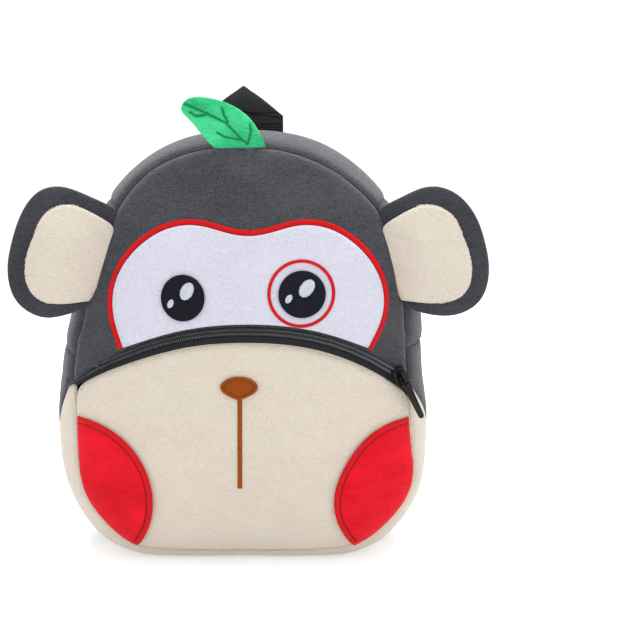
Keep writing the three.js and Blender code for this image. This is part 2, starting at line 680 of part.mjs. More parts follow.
// Stitched nose and mouth, and the red cheeks that run into the seam
function buildMuzzleTrim() {
  const nose = ellipse(0, 0, 1, 1, 24).map((p) => {
    const half = Math.sign(p.x) * Math.abs(p.x) ** (p.z < 0 ? NOSE.taper : 1);
    const height = p.z * (p.z < 0 ? NOSE.bottom : NOSE.top);
    return new THREE.Vector3(NOSE.x + NOSE.halfWidth * half, 0, NOSE.z + height);
  });
  const stitched = { rings: [0, 0.6, 1], surface: onFront, lift: LIFT, thick: 0.9 };
  addPiece("nose", patch({ outline: nose, centre: NOSE, ...stitched }), "thread_brown");
  const side = (half) => span(9, MOUTH.top, MOUTH.bottom).map((z) => new THREE.Vector3(MOUTH.x + half, 0, z));
  const mouth = stitchedRing(side(-MOUTH.halfWidth), side(MOUTH.halfWidth), onFront, LIFT, 0.7, false);
  addPiece("mouth", mouth, "thread_brown");

  const limit = reachInside(CHEEK.margin);
  const cheek = ellipse(CHEEK.x, CHEEK.z, CHEEK.halfWidth, CHEEK.halfHeight, 22).map(limit);
  const centre = { x: CHEEK.x - 18, z: CHEEK.z + 2 };
  const sewnOn = { rings: PATCH_RINGS, surface: onFront, lift: LIFT, thick: 1.2 };
  addPair("cheek", patch({ outline: cheek, centre, ...sewnOn }), "plush_red");
}

// Keeps a point at least a margin inside the seam, measured towards the bulge's centre.
function reachInside(margin) {
  return (p) => {
    const [dx, dz] = [p.x - BULGE_CENTRE.x, p.z - BULGE_CENTRE.z];
    const most = reachAt(Math.atan2(dx, dz)) - margin;
    const scale = Math.min(1, most / Math.hypot(dx, dz));
    return new THREE.Vector3(BULGE_CENTRE.x + dx * scale, 0, BULGE_CENTRE.z + dz * scale);
  };
}

// A point on a stuffed flat shape that stands a little in front of the front seam.
// r runs from the shape's middle to its outline point, and side is -1 on the front.
function pillowPoint(shape, p, r, side, height) {
  const half = shape.edge + shape.puff * (1 - r ** 2) + height;
  const [x, z] = [shape.x + r * (p.x - shape.x), shape.z + r * (p.z - shape.z)];
  return new THREE.Vector3(x, -HALF_DEPTH - shape.forward + side * half, z);
}

function pillow(shape, outline) {
  const rings = [0, 0.45, 0.75, 0.93, 1];
  const sheet = (side) => rings.map((r) => outline.map((p) => pillowPoint(shape, p, r, side, 0)));
  return wallBetween(sheet(-1), sheet(1), true);
}

// The points of a straight closing edge, without its two ends.
const closing = (run, count) =>
  span(count, 0, 1)
    .slice(1, -1)
    .map((t) => run.at(-1).clone().lerp(run[0], t));

// The points of an ear's root, which follows the front seam, without its two ends.
const earRoot = (run, count) =>
  span(count, run.at(-1).z, run[0].z)
    .slice(1, -1)
    .map((z) => new THREE.Vector3(seamPoint(seamShareAt(z)).x + EAR.rootGap, 0, z));

// Ears with a cream lining sewn on the front
function buildEars() {
  const run = smoothRun(EAR_OUTLINE, 17);
  const outline = [...run, ...earRoot(run, 6)];
  addPair("ear", pillow(EAR, outline), "plush_dark");

  const shares = smoothRun(EAR_OUTLINE.map((row) => ({ ...row, x: row.lining, z: 0 })), 17);
  const liningShare = (i) => (i < shares.length ? shares[i].x : EAR_LINING.rootShare);
  const sheet = (height) =>
    PATCH_RINGS.map((r) => outline.map((p, i) => pillowPoint(EAR, p, r * liningShare(i), -1, height)));
  const lining = wallBetween(sheet(LIFT + EAR_LINING.thick), sheet(LIFT), true);
  addPair("ear_lining", lining, "plush_cream");
}

function buildLeaf() {
  const run = smoothRun(LEAF_OUTLINE, 17);
  addPiece("leaf", pillow(LEAF, [...run, ...closing(run, 6)]), "plush_green");
}

// One strip of webbing: two legs side by side, folded at the top into a gable that lies over them.
function buildHandle() {
  const half = HANDLE.slot / 2 + WEBBING.width;
  const roof = (x) => lerp(HANDLE.apex, HANDLE.shoulder, Math.abs(x) / half);
  const turn = (HANDLE.leanHigh - HANDLE.leanLow) / HANDLE.apex;
  const root = new THREE.Vector3(HANDLE.x, HALF_DEPTH + 0.9, seamPoint(0).z + 0.4);
  const droop = (x, height, depth) => {
    const lean = HANDLE.leanLow + turn * height;
    const back = (Math.cos(HANDLE.leanLow) - Math.cos(lean)) / turn + depth * Math.cos(lean);
    const up = (Math.sin(lean) - Math.sin(HANDLE.leanLow)) / turn - depth * Math.sin(lean);
    return new THREE.Vector3(x, back, up).add(root);
  };
  const layer = (columns, low, depthLow, depthHigh) => {
    const sheet = (depth) =>
      columns.map((x) => span(5, 0, 1).map((t) => droop(x, lerp(Math.min(low, roof(x)), roof(x), t), depth)));
    return wallBetween(sheet(depthLow), sheet(depthHigh), false);
  };
  const { slot, slotTop } = HANDLE;
  const eaves = (half * (HANDLE.apex - slotTop - 2)) / (HANDLE.apex - HANDLE.shoulder);
  const legs = fuse(
    layer([slot / 2, half], 0, 0, WEBBING.thick),
    layer([-half, -slot / 2], 0, 0, WEBBING.thick),
  );
  const gable = layer([-eaves, -half / 2, 0, half / 2, eaves], slotTop, 0, 2 * WEBBING.thick);
  addPiece("handle", fuse(legs, gable), "webbing_black", harness);
}

// A padded strap lofted through its sections, each a rectangle with soft corners.
function strapPad() {
  const rows = STRAP_SECTIONS;
  const path = new THREE.CatmullRomCurve3(rows.map((row) => new THREE.Vector3(row.x, row.y, row.z)));
  const sizes = new THREE.CatmullRomCurve3(rows.map((row) => new THREE.Vector3(row.width, row.thick, 0)));
  const [stations, corners] = [16, 12];
  const soften = (value) => Math.sign(value) * Math.abs(value) ** 0.5;
  const rings = span(stations, 0, 1).map((t) => {
    const middle = path.getPoint(t);
    const along = path.getTangent(t);
    const side = new THREE.Vector3(1, 0, 0);
    const across = along.clone().cross(side).normalize();
    const { x: width, y: thick } = sizes.getPoint(t);
    return span(corners + 1, 0, 2 * Math.PI)
      .slice(1)
      .map((a) => {
        const p = middle.clone().addScaledVector(side, (width / 2) * soften(Math.cos(a)));
        p.addScaledVector(across, (thick / 2) * soften(Math.sin(a)));
        return p;
      });
  });
  return loftRings(rings);
}

// Webbing seen from its edge: a line through a table's out and up columns, given its thickness and width.
function webbingRun(table, steps) {
  const points = table.map((row) => new THREE.Vector3(0, BUCKLE.y + row.out, row.up));
  const curve = new THREE.CatmullRomCurve3(points, false, "centripetal");
  const across = new THREE.Vector3(1, 0, 0);
  const corners = [
    { side: -1, face: 1 },
    { side: 1, face: 1 },
    { side: 1, face: -1 },
    { side: -1, face: -1 },
  ];
  const rings = span(steps, 0, 1).map((t) => {
    const middle = curve.getPointAt(t).setX(BUCKLE.x);
    const normal = curve.getTangentAt(t).cross(across).normalize();
    return corners.map(({ side, face }) =>
      middle
        .clone()
        .addScaledVector(across, (side * WEBBING.width) / 2)
        .addScaledVector(normal, (face * WEBBING.thick) / 2),
    );
  });
  return loftRings(rings);
}

function buckle() {
  const half = BUCKLE.width / 2;
  const corner = 2.5;
  const frame = new THREE.Shape();
  frame.moveTo(-half, BUCKLE.tabTop).lineTo(-half, BUCKLE.top - corner);
  frame.quadraticCurveTo(-half, BUCKLE.top, -half + corner, BUCKLE.top);
  frame.lineTo(half - corner, BUCKLE.top).quadraticCurveTo(half, BUCKLE.top, half, BUCKLE.top - corner);
  frame.lineTo(half, BUCKLE.tabTop);
  frame.quadraticCurveTo(half - 2, BUCKLE.tabBottom, BUCKLE.tabHalfWidth, BUCKLE.tabBottom);
  frame.lineTo(-BUCKLE.tabHalfWidth, BUCKLE.tabBottom);
  frame.quadraticCurveTo(2 - half, BUCKLE.tabBottom, -half, BUCKLE.tabTop);
  for (const { low, high, width } of BUCKLE_SLOTS) {
    frame.holes.push(rectangle(-width / 2, width / 2, low, high));
  }
  const thickness = { depth: BUCKLE.thick, bevelEnabled: false, curveSegments: 5 };
  const plate = new THREE.ExtrudeGeometry(frame, thickness);
  return plate.rotateX(Math.PI / 2).translate(BUCKLE.x, BUCKLE.y + BUCKLE.thick, 0);
}

// Both shoulder straps: pad, sewn webbing loop, ladder buckle and the lower webbing from the base seam
function buildStraps() {
  addPair("strap_pad", strapPad(), "plush_red", harness);
  addPair("strap_loop", webbingRun(SEWN_LOOP_PATH, 19), "webbing_black", harness);
  addPair("buckle", buckle(), "plastic_black", harness);
  addPair("strap_webbing", webbingRun(LOWER_RUN_PATH, 31), "webbing_black", harness);
}

buildPanels();
buildBand();
buildZip();
buildSlider();
buildEyes();
buildMuzzleTrim();
buildEars();
buildLeaf();
buildHandle();
buildStraps();

export default bag;
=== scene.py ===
# %% [markdown]
# # A plush monkey backpack
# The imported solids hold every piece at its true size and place. This lesson dresses them: it turns
# the solids into stuffed cloth, sews the stitching on, weaves the webbing and lights the bag as a
# catalogue photograph would. All of it is worked out around the loaded frame.

# %% Load the frame
import math
from collections import Counter, defaultdict

import bmesh
import bpy
import numpy as np
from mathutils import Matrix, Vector
from mathutils.bvhtree import BVHTree
from mathutils.kdtree import KDTree


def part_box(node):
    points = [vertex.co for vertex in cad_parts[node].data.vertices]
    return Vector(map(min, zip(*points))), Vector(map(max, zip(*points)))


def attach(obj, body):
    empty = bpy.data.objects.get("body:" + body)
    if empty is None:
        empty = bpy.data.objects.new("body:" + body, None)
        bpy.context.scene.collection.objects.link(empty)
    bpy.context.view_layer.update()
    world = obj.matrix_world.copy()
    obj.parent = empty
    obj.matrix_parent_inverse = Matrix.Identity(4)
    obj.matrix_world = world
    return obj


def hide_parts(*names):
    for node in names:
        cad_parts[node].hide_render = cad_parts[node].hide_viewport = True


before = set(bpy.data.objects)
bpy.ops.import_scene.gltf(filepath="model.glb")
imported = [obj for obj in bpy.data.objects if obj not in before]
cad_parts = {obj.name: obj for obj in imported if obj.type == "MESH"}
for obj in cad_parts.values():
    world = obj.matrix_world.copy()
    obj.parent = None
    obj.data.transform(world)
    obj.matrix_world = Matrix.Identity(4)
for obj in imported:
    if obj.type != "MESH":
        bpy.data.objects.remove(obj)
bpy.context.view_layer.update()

MM = 0.001

# %% [markdown]
# ## Camera
# The photograph shows the bag from a little above and from close by, so its crown and both side
# bands are in view. The bag stands left of the picture's middle. A shifted lens keeps the view
# straight on and still frames it there, where turning the camera would skew the face.

# %% Camera
PHOTO_PX = 640
FOCAL_PX = 1036
AXIS_PX = (243.0, 335.8)  # where the point that the camera aims at lies in the picture
AIM = Vector((0, -20, 135)) * MM
DISTANCE = 620 * MM
ELEVATION = math.radians(10)
SENSOR_MM = 36

scene = bpy.context.scene
lens = bpy.data.cameras.new("camera")
lens.sensor_width = SENSOR_MM
lens.lens = FOCAL_PX / PHOTO_PX * SENSOR_MM
lens.shift_x = 0.5 - AXIS_PX[0] / PHOTO_PX
lens.shift_y = AXIS_PX[1] / PHOTO_PX - 0.5
camera = bpy.data.objects.new("camera", lens)
camera.location = AIM + DISTANCE * Vector((0, -math.cos(ELEVATION), math.sin(ELEVATION)))
camera.rotation_euler = (math.pi / 2 - ELEVATION, 0, 0)
scene.collection.objects.link(camera)
scene.camera = camera
scene.view_settings.view_transform = "Standard"
print("camera:", round(lens.lens, 1), "mm lens at", [round(x, 3) for x in camera.location])

# %% [markdown]
# ## Shader expressions
# A finish is mostly arithmetic on noise. `Wire` wraps an output socket and turns Python's operators
# into Math nodes, and `Tree.node` adds any other node, so a material reads like a formula. The same
# two classes build the Geometry Nodes trees further down.


# %% Sockets as values
class Wire:
    """An output socket. Operators on it add Math nodes to its tree."""

    def __init__(self, tree, socket):
        self.tree = tree
        self.socket = socket

    def math(self, operation, *values):
        return self.tree.node("ShaderNodeMath", dict(enumerate(values)), operation=operation)

    def __add__(self, other):
        return self.math("ADD", self, other)

    def __sub__(self, other):
        return self.math("SUBTRACT", self, other)

    def __rsub__(self, other):
        return self.math("SUBTRACT", other, self)

    def __mul__(self, other):
        return self.math("MULTIPLY", self, other)

    def __pow__(self, other):
        return self.math("POWER", self, other)

    def __abs__(self):
        return self.math("ABSOLUTE", self)

    __radd__ = __add__
    __rmul__ = __mul__


class Tree:
    """A node tree that is built by calls."""

    def __init__(self, tree):
        self.tree = tree

    def node(self, kind, sockets=None, out=0, **settings):
        """Adds a node, sets it up first, then fills its sockets with values or links."""
        made = self.tree.nodes.new(kind)
        for name, value in settings.items():
            setattr(made, name, value)
        for key, value in (sockets or {}).items():
            if isinstance(value, Wire):
                self.tree.links.new(value.socket, made.inputs[key])
            else:
                made.inputs[key].default_value = value
        return Wire(self, made.outputs[out]) if made.outputs else made


class Finish(Tree):
    """A material with one Principled shader, whose constants go on its own sockets."""

    def __init__(self, name, **constants):
        self.material = bpy.data.materials.new(name)
        self.material.use_nodes = True
        super().__init__(self.material.node_tree)
        self.shader = self.tree.nodes["Principled BSDF"]
        for key, value in constants.items():
            label = key.replace("_", " ").title().replace("Ior", "IOR")
            self.shader.inputs[label].default_value = value
        self.place = self.node("ShaderNodeTexCoord", out="Object")

    def noise(self, scale, detail=2.0, stretch=(1, 1, 1)):
        """Noise on the piece's own coordinates. A stretch above 1 packs it closer along that axis."""
        where = self.place
        if stretch != (1, 1, 1):
            where = self.node("ShaderNodeMapping", {"Vector": where, "Scale": stretch})
        sockets = {"Vector": where, "Scale": scale, "Detail": detail, "Roughness": 0.6}
        return self.node("ShaderNodeTexNoise", sockets)

    def mix(self, share, low, high):
        return self.node("ShaderNodeMix", {0: share, 6: low, 7: high}, out=2, data_type="RGBA")

    def feed(self, name, wire):
        self.tree.links.new(wire.socket, self.shader.inputs[name])

    def bump(self, height, depth):
        """Raises the surface by height times depth, in metres."""
        sockets = {"Height": height, "Distance": depth, "Strength": 1.0}
        self.feed("Normal", self.node("ShaderNodeBump", sockets))


def srgb(red, green, blue):
    """A colour given in the 0 to 255 numbers of a picture, as the linear colour that shaders use."""
    channels = [c / 255 for c in (red, green, blue)]
    linear = [c / 12.92 if c <= 0.04045 else ((c + 0.055) / 1.055) ** 2.4 for c in channels]
    return (*linear, 1.0)


# %% [markdown]
# ## Finishes
# The bag is short-pile plush. Pile has no gloss but a bright rim where it is seen edge on, which is
# what sheen gives. Up close it shows fine grain, faint knitted rows and patches where a hand has
# brushed it. The stitching is rayon thread, smoother and glossier. The webbing and the zip are nylon.


# %% Cloth finishes
def plush(name, colour, shade, sheen, tint, brushing):
    """Short pile: grain, knitted rows along X, and patches that a hand has brushed."""
    finish = Finish(name, roughness=0.92, specular_ior_level=0.12, sheen_weight=sheen,
                    sheen_roughness=0.38, sheen_tint=tint)
    grain = finish.noise(1150, 3.0)
    rows = finish.noise(260, 2.0, stretch=(1, 1, 7))
    brushed = finish.noise(34, 3.0, stretch=(1, 1, 1.6))
    tone = grain * (0.75 - brushing) + rows * 0.25 + brushed * brushing
    spread = finish.node("ShaderNodeMapRange", {"Value": tone, "From Min": 0.36, "From Max": 0.64})
    finish.feed("Base Color", finish.mix(spread, shade, colour))
    finish.bump(grain * 0.6 + rows * 0.4, 0.9 * MM)
    return finish.material


def thread(name, colour, shade):
    """Embroidery thread, with a slow change of tone from stitch to stitch."""
    finish = Finish(name, roughness=0.45, specular_ior_level=0.12)
    fibre = finish.noise(2400, 2.0)
    lay = finish.noise(420, 1.0)
    finish.feed("Base Color", finish.mix(fibre * 0.5 + lay * 0.5, shade, colour))
    finish.bump(fibre, 0.12 * MM)
    return finish.material


def fill_stitch(name, colour, shade, pitch, turn):
    """Embroidery fill: parallel threads at a slant, in rows of short stitches."""
    finish = Finish(name, roughness=0.5, specular_ior_level=0.1)
    slanted = finish.node("ShaderNodeMapping", {"Vector": finish.place, "Rotation": (0, turn, 0)})
    bands = {"Vector": slanted, "Scale": 0.1 * math.tau / pitch, "Distortion": 0.6, "Detail": 1.0}
    ridges = finish.node("ShaderNodeTexWave", bands, out="Fac", bands_direction="Z")
    lay = finish.noise(300, 2.0)
    finish.feed("Base Color", finish.mix(ridges * 0.6 + lay * 0.4, shade, colour))
    finish.bump(ridges, 0.35 * MM)
    return finish.material


def nylon(name, colour, shade, roughness):
    """Woven nylon: a fine twill over slightly uneven black dye."""
    finish = Finish(name, roughness=roughness, specular_ior_level=0.07)
    weave = finish.noise(1500, 2.0, stretch=(1, 1, 2))
    dye = finish.noise(60, 2.0)
    finish.feed("Base Color", finish.mix(weave * 0.6 + dye * 0.4, shade, colour))
    finish.bump(weave, 0.3 * MM)
    return finish.material


def moulded(name, colour, shade, roughness):
    """Moulded plastic with a faint spark-eroded grain and handling marks."""
    finish = Finish(name, specular_ior_level=0.16)
    grain = finish.noise(1800, 2.0)
    rubbed = finish.noise(90, 3.0)
    finish.feed("Base Color", finish.mix(rubbed, shade, colour))
    finish.feed("Roughness", rubbed * 0.25 + roughness)
    finish.bump(grain, 0.06 * MM)
    return finish.material


GREY_PLUSH = plush("grey_plush", srgb(74, 75, 79), srgb(39, 40, 44), 0.32, (0.8, 0.82, 0.86, 1), 0.2)
# A darker copy of the grey plush, as painted shade: the ears wear it because the light leaves them darker,
# and the back cloth wears it too.
SHADED_GREY_PLUSH = plush("dark_plush", srgb(63, 64, 69), srgb(34, 35, 39), 0.24, (0.8, 0.82, 0.86, 1), 0.2)
CREAM_PLUSH = plush("cream_plush", srgb(196, 188, 176), srgb(179, 169, 155), 0.2, (1, 0.97, 0.92, 1), 0.15)
RED_PLUSH = plush("red_plush", srgb(211, 15, 38), srgb(172, 4, 15), 0.25, (1, 0.5, 0.55, 1), 0.5)
WHITE_PLUSH = plush("white_plush", srgb(192, 192, 202), srgb(170, 170, 185), 0.15, (0.95, 0.95, 1, 1), 0.15)
GREEN_PLUSH = plush("green_plush", srgb(72, 206, 142), srgb(28, 146, 92), 0.4, (0.6, 1, 0.8, 1), 0.5)
RED_THREAD = thread("red_thread", srgb(206, 17, 26), srgb(160, 5, 11))
# Dark red for a thin tube inside each cheek's satin: painted shadow where the raised satin meets the plush.
RED_PAINTED_SHADOW = thread("dark_red_thread", srgb(150, 7, 14), srgb(116, 4, 8))
WHITE_THREAD = thread("white_thread", srgb(204, 206, 219), srgb(150, 152, 168))
BROWN_THREAD = thread("brown_thread", srgb(156, 78, 11), srgb(112, 50, 5))
# Dark brown for a thin tube inside the nose's satin: painted shadow where the raised satin meets the fill.
BROWN_PAINTED_SHADOW = thread("dark_brown_thread", srgb(122, 56, 8), srgb(92, 40, 5))
GREEN_THREAD = thread("green_thread", srgb(26, 136, 78), srgb(14, 104, 58))
BLACK_FILL = fill_stitch("black_fill_stitch", srgb(28, 30, 42), srgb(10, 11, 18), 0.9 * MM, 0.9)
BROWN_FILL = fill_stitch("brown_fill_stitch", srgb(180, 91, 16), srgb(112, 48, 4), 0.9 * MM, -0.6)
BLACK_WEBBING = nylon("black_webbing", srgb(25, 26, 29), srgb(16, 17, 19), 0.75)
ZIP_TAPE = nylon("zip_tape", srgb(41, 41, 45), srgb(28, 28, 31), 0.6)
# The zip's coil is black nylon throughout: the core is painted near black as shade between the coil's
# turns, and the bars on it are painted lighter as highlights on the turns.
ZIP_CORE_SHADE = moulded("zip_core", srgb(12, 12, 14), srgb(7, 7, 8), 0.5)
ZIP_COIL_HIGHLIGHT = moulded("zip_coil", srgb(96, 97, 101), srgb(72, 73, 76), 0.3)
BLACK_PLASTIC = moulded("black_plastic", srgb(17, 17, 19), srgb(9, 9, 11), 0.2)
print("finishes:", len(bpy.data.materials))

# %% [markdown]
# ## Floor and light
# The bag stands on a light table in an evenly white studio: the table glows a little, which leaves
# only a pale shadow. A white world fills every hollow, one broad light above wakes the sheen on the
# crown, and two soft ones at the sides model the face.

# %% Floor and light
SKY = 1.1
SOFT_BOXES = [  # name, place in metres, side in metres, power in watts
    ("top", (0.0, 0.25, 1.25), 1.1, 30.0),
    ("left", (-1.0, -0.9, 0.7), 0.9, 2.5),
    ("right", (1.1, -0.7, 0.8), 0.9, 4.5),
]
FLOOR_HALF = 6.0

world = bpy.data.worlds.new("studio")
world.use_nodes = True
world.node_tree.nodes["Background"].inputs["Color"].default_value = (1, 1, 1, 1)
world.node_tree.nodes["Background"].inputs["Strength"].default_value = SKY
scene.world = world

for name, place, side, power in SOFT_BOXES:
    lamp = bpy.data.lights.new(name, "AREA")
    lamp.size = side
    lamp.energy = power
    box = bpy.data.objects.new(name, lamp)
    box.location = place
    box.rotation_euler = (AIM - box.location).to_track_quat("-Z", "Y").to_euler()
    scene.collection.objects.link(box)

paper = Finish("floor_paper", roughness=0.8, specular_ior_level=0.1, emission_color=(1, 1, 1, 1),
               emission_strength=0.45)
paper.feed("Base Color", paper.mix(paper.noise(2.0), (0.6, 0.6, 0.6, 1), (0.62, 0.62, 0.62, 1)))
corners = [(x * FLOOR_HALF, y * FLOOR_HALF, 0) for x, y in ((-1, -1), (1, -1), (1, 1), (-1, 1))]
sheet = bpy.data.meshes.new("floor")
sheet.from_pydata(corners, [], [(0, 1, 2, 3)])
sheet.materials.append(paper.material)
floor = bpy.data.objects.new("floor", sheet)
scene.collection.objects.link(floor)
print("light:", len(SOFT_BOXES), "soft boxes and a white world")

# %% [markdown]
# ## From solid to cloth
# Each solid is coarse but true, so it is the pattern that the cloth is cut to. A copy of it is
# welded, its triangles are joined back into quads, and subdivision then rounds it. For a wall, only
# the outer skin is kept: starting from the face that looks most squarely out of the bag, every
# face that bends gently on from it belongs to the skin, and the sharp turn at the rim ends it.

# %% Copies of the solids
WELD = 0.02 * MM
RIM_ANGLE = math.radians(65)
BAG_MIDDLE = Vector((0, 0, 125)) * MM


def copied(node):
    """A node's surface as a bmesh of quads."""
    made = bmesh.new()
    made.from_mesh(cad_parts[node].data)
    bmesh.ops.remove_doubles(made, verts=made.verts, dist=WELD)
    bmesh.ops.join_triangles(made, faces=made.faces, angle_face_threshold=1.2, angle_shape_threshold=2.5)
    return made


def keep_outside(made, middle=BAG_MIDDLE):
    """Deletes all but the skin that looks away from a middle point."""
    seed = max(made.faces, key=lambda face: (face.calc_center_median() - middle).dot(face.normal))
    skin, edge_of_skin = {seed}, [seed]
    while edge_of_skin:
        for edge in edge_of_skin.pop().edges:
            if len(edge.link_faces) == 2 and edge.calc_face_angle() < RIM_ANGLE:
                fresh = [face for face in edge.link_faces if face not in skin]
                skin.update(fresh)
                edge_of_skin.extend(fresh)
    bmesh.ops.delete(made, geom=[face for face in made.faces if face not in skin], context="FACES")


def new_piece(name, mesh, material):
    """Links a smooth-shaded object for a mesh."""
    mesh.materials.clear()
    mesh.materials.append(material)
    mesh.shade_smooth()
    piece = bpy.data.objects.new(name, mesh)
    scene.collection.objects.link(piece)
    return piece


def piece_from(made, name, material):
    mesh = bpy.data.meshes.new(name)
    made.to_mesh(mesh)
    made.free()
    return new_piece(name, mesh, material)


def bake(piece):
    """Turns a piece's modifiers into its mesh."""
    graph = bpy.context.evaluated_depsgraph_get()
    mesh = bpy.data.meshes.new_from_object(piece.evaluated_get(graph))
    piece.modifiers.clear()
    piece.data = mesh


def subdivide(piece, levels):
    rounding = piece.modifiers.new("rounding", "SUBSURF")
    rounding.levels = rounding.render_levels = levels
    rounding.boundary_smooth = "PRESERVE_CORNERS"


def points_of(piece):
    flat = np.empty(len(piece.data.vertices) * 3)
    piece.data.vertices.foreach_get("co", flat)
    return flat.reshape(-1, 3)


def place_points(piece, points):
    piece.data.vertices.foreach_set("co", np.asarray(points, float).ravel())
    piece.data.update()


def open_edge(piece):
    """The vertices on a sheet's open edge, in order round it."""
    counts = Counter(key for face in piece.data.polygons for key in face.edge_keys)
    linked = defaultdict(list)
    for (a, b), count in counts.items():
        if count == 1:
            linked[a].append(b)
            linked[b].append(a)
    loop = [min(linked)]
    step = linked[loop[0]][0]
    while step != loop[0]:
        loop.append(step)
        step = next(vertex for vertex in linked[step] if vertex != loop[-2])
    return loop


# %% [markdown]
# ## Stuffing
# Padded plush puckers along its seams, because the cloth is cut a little longer than the seam that
# holds it. A cloth simulation does just that: the seam is pinned, the cloth next to it is told to
# grow by a few percent, and a light pressure from inside pushes the slack out. How far a point may
# move is capped softly, so that the bag keeps the outline of its solid.

# %% Stuffing by simulation
SIM_FRAMES = 24
SEAM_EASE = 14 * MM  # how far from a seam the extra length of cloth reaches


def tree_over(points):
    tree = KDTree(len(points))
    for index, point in enumerate(points):
        tree.insert(point, index)
    tree.balance()
    return tree


def stuff(piece, pinned, pressure, growth, most):
    """Swells a piece between its pinned vertices by cloth simulation."""
    start = points_of(piece)
    seam = piece.vertex_groups.new(name="seam")
    seam.add([int(index) for index in pinned], 1.0, "REPLACE")
    gathers = piece.vertex_groups.new(name="gathers")
    pins = tree_over(start[pinned])
    for index, point in enumerate(start):
        gathers.add([index], math.exp(-pins.find(point)[2] / SEAM_EASE), "REPLACE")
    cloth = piece.modifiers.new("cloth", "CLOTH")
    settings = cloth.settings
    settings.quality = 6
    settings.mass = 0.02
    settings.tension_stiffness = settings.compression_stiffness = 20
    settings.shear_stiffness = 10
    settings.bending_stiffness = 0.3
    settings.vertex_group_mass = "seam"
    settings.vertex_group_shrink = "gathers"
    settings.shrink_min = 0
    settings.shrink_max = -growth
    settings.use_pressure = True
    settings.uniform_pressure_force = pressure
    settings.effector_weights.gravity = 0
    cloth.collision_settings.use_collision = False
    cloth.point_cache.frame_start = 1
    cloth.point_cache.frame_end = SIM_FRAMES
    for number in range(1, SIM_FRAMES + 1):
        scene.frame_set(number)
    bake(piece)
    scene.frame_set(1)
    move = points_of(piece) - start
    reach = np.maximum(np.linalg.norm(move, axis=1, keepdims=True), 1e-9)
    place_points(piece, start + move * most * np.tanh(reach / most) / reach)
    piece.vertex_groups.clear()
    print("  stuffed", piece.name, "by", np.round(reach.mean() / MM, 2), "mm on average and",
          np.round(reach.max() / MM, 1), "mm at most before the cap")


# %% Body cloth
CLOTH_THICK = 1.8 * MM
PANELS = [  # piece, node, finish, slot, fill, growth
    ("face_cloth", "face_panel", GREY_PLUSH, "plush_dark", 0.8, 0.06),
    ("muzzle_cloth", "muzzle_panel", CREAM_PLUSH, "plush_cream", 0.8, 0.06),
    ("back_cloth", "back_panel", SHADED_GREY_PLUSH, "plush_dark", 0.6, 0.06),
    ("crown_band", "band_crown", GREY_PLUSH, "plush_dark", 0.7, 0.1),
    ("side_band_right", "band_side_right", GREY_PLUSH, "plush_dark", 0.7, 0.12),
    ("side_band_left", "band_side_left", GREY_PLUSH, "plush_dark", 0.7, 0.12),
    ("base_band", "band_base", GREY_PLUSH, "plush_dark", 0.7, 0.06),
    ("cream_band", "band_cream", CREAM_PLUSH, "plush_cream", 0.7, 0.06),
]
cloths, rests, rims = {}, {}, {}

for name, node, material, slot, fill, growth in PANELS:
    pattern = copied(node)
    keep_outside(pattern)
    cloth = piece_from(pattern, name, material)
    subdivide(cloth, 2)
    bake(cloth)
    cloths[name] = cloth
    rests[name] = points_of(cloth)
    rims[name] = open_edge(cloth)
    stuff(cloth, rims[name], pressure=1.5, growth=growth, most=1.8 * MM)
    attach(cloth, "bag")
    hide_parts(node)
    print(name, len(cloth.data.polygons), "faces")

# %% [markdown]
# A seam pulls both of its cloths in, which leaves a crease. Every point near the rim of another
# cloth is drawn in along its own normal, more the nearer it lies. Then the cloth gets its thickness.

# %% Seams
SEAM_DRAW = 1.6 * MM
SEAM_HALF = 2.4 * MM


def normals_of(piece):
    return np.array([vertex.normal for vertex in piece.data.vertices])


for name, cloth in cloths.items():
    others = tree_over(np.concatenate([rests[other][rims[other]] for other in cloths if other != name]))
    off_seam = np.array([others.find(point)[2] for point in rests[name]])
    drawn = SEAM_DRAW * np.exp(-(off_seam / SEAM_HALF) ** 2)
    points = points_of(cloth) - normals_of(cloth) * drawn[:, None]
    points[:, 2] = np.maximum(points[:, 2], 0)
    place_points(cloth, points)
    wall = cloth.modifiers.new("wall", "SOLIDIFY")
    wall.thickness = CLOTH_THICK
    wall.offset = -1
    subdivide(cloth, 1)
print("seams drawn in by up to", SEAM_DRAW / MM, "mm")

# %% [markdown]
# ## Following the cloth
# The stuffed cloth has moved a little from its solid, so everything sewn to it has to move along.
# Each point takes the average move of the nearest points of the cloth. A ray then finds the cloth's
# true surface wherever a line of stitching has to lie on it.

# %% Moving with the cloth
NEIGHBOURS = 6


def follower(rest, move):
    """A function that moves points as the nearest points of a stuffed cloth have moved."""
    near = tree_over(rest)

    def follow(points):
        followed = []
        for point in points:
            found = near.find_n(point, NEIGHBOURS)
            weights = np.array([1 / (distance + MM) for _, _, distance in found])
            steps = move[[index for _, index, _ in found]]
            followed.append(point + weights @ steps / weights.sum())
        return np.array(followed)

    return follow


def surface_of(*pieces):
    """A search tree over the shown surface of some pieces."""
    graph = bpy.context.evaluated_depsgraph_get()
    corners, faces = [], []
    for piece in pieces:
        mesh = piece.evaluated_get(graph).to_mesh()
        start = len(corners)
        corners.extend(vertex.co.copy() for vertex in mesh.vertices)
        faces.extend([start + index for index in face.vertices] for face in mesh.polygons)
    return BVHTree.FromPolygons(corners, faces)


FRONT, BEHIND = -1, 1
STANDOFF = 0.2


def laid_on(surface, places, side=FRONT):
    """Points and outward normals where places, as x and z, fall on a surface, and which of them do."""
    towards = Vector((0, -side, 0))
    found = [surface.ray_cast(Vector((x, side * STANDOFF, z)), towards) for x, z in places]
    hit = [point is not None for point, _, _, _ in found]
    points = np.array([point for point, _, _, _ in found if point is not None])
    normals = np.array([normal for _, normal, _, _ in found if normal is not None])
    return points, normals, hit


def middle_and_half(node):
    """A node's middle and half size in x and z."""
    low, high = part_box(node)
    return (low.x + high.x) / 2, (low.z + high.z) / 2, (high.x - low.x) / 2, (high.z - low.z) / 2


rest = np.concatenate(list(rests.values()))
with_body = follower(rest, np.concatenate([points_of(cloth) for cloth in cloths.values()]) - rest)
print("followed points:", len(rest))

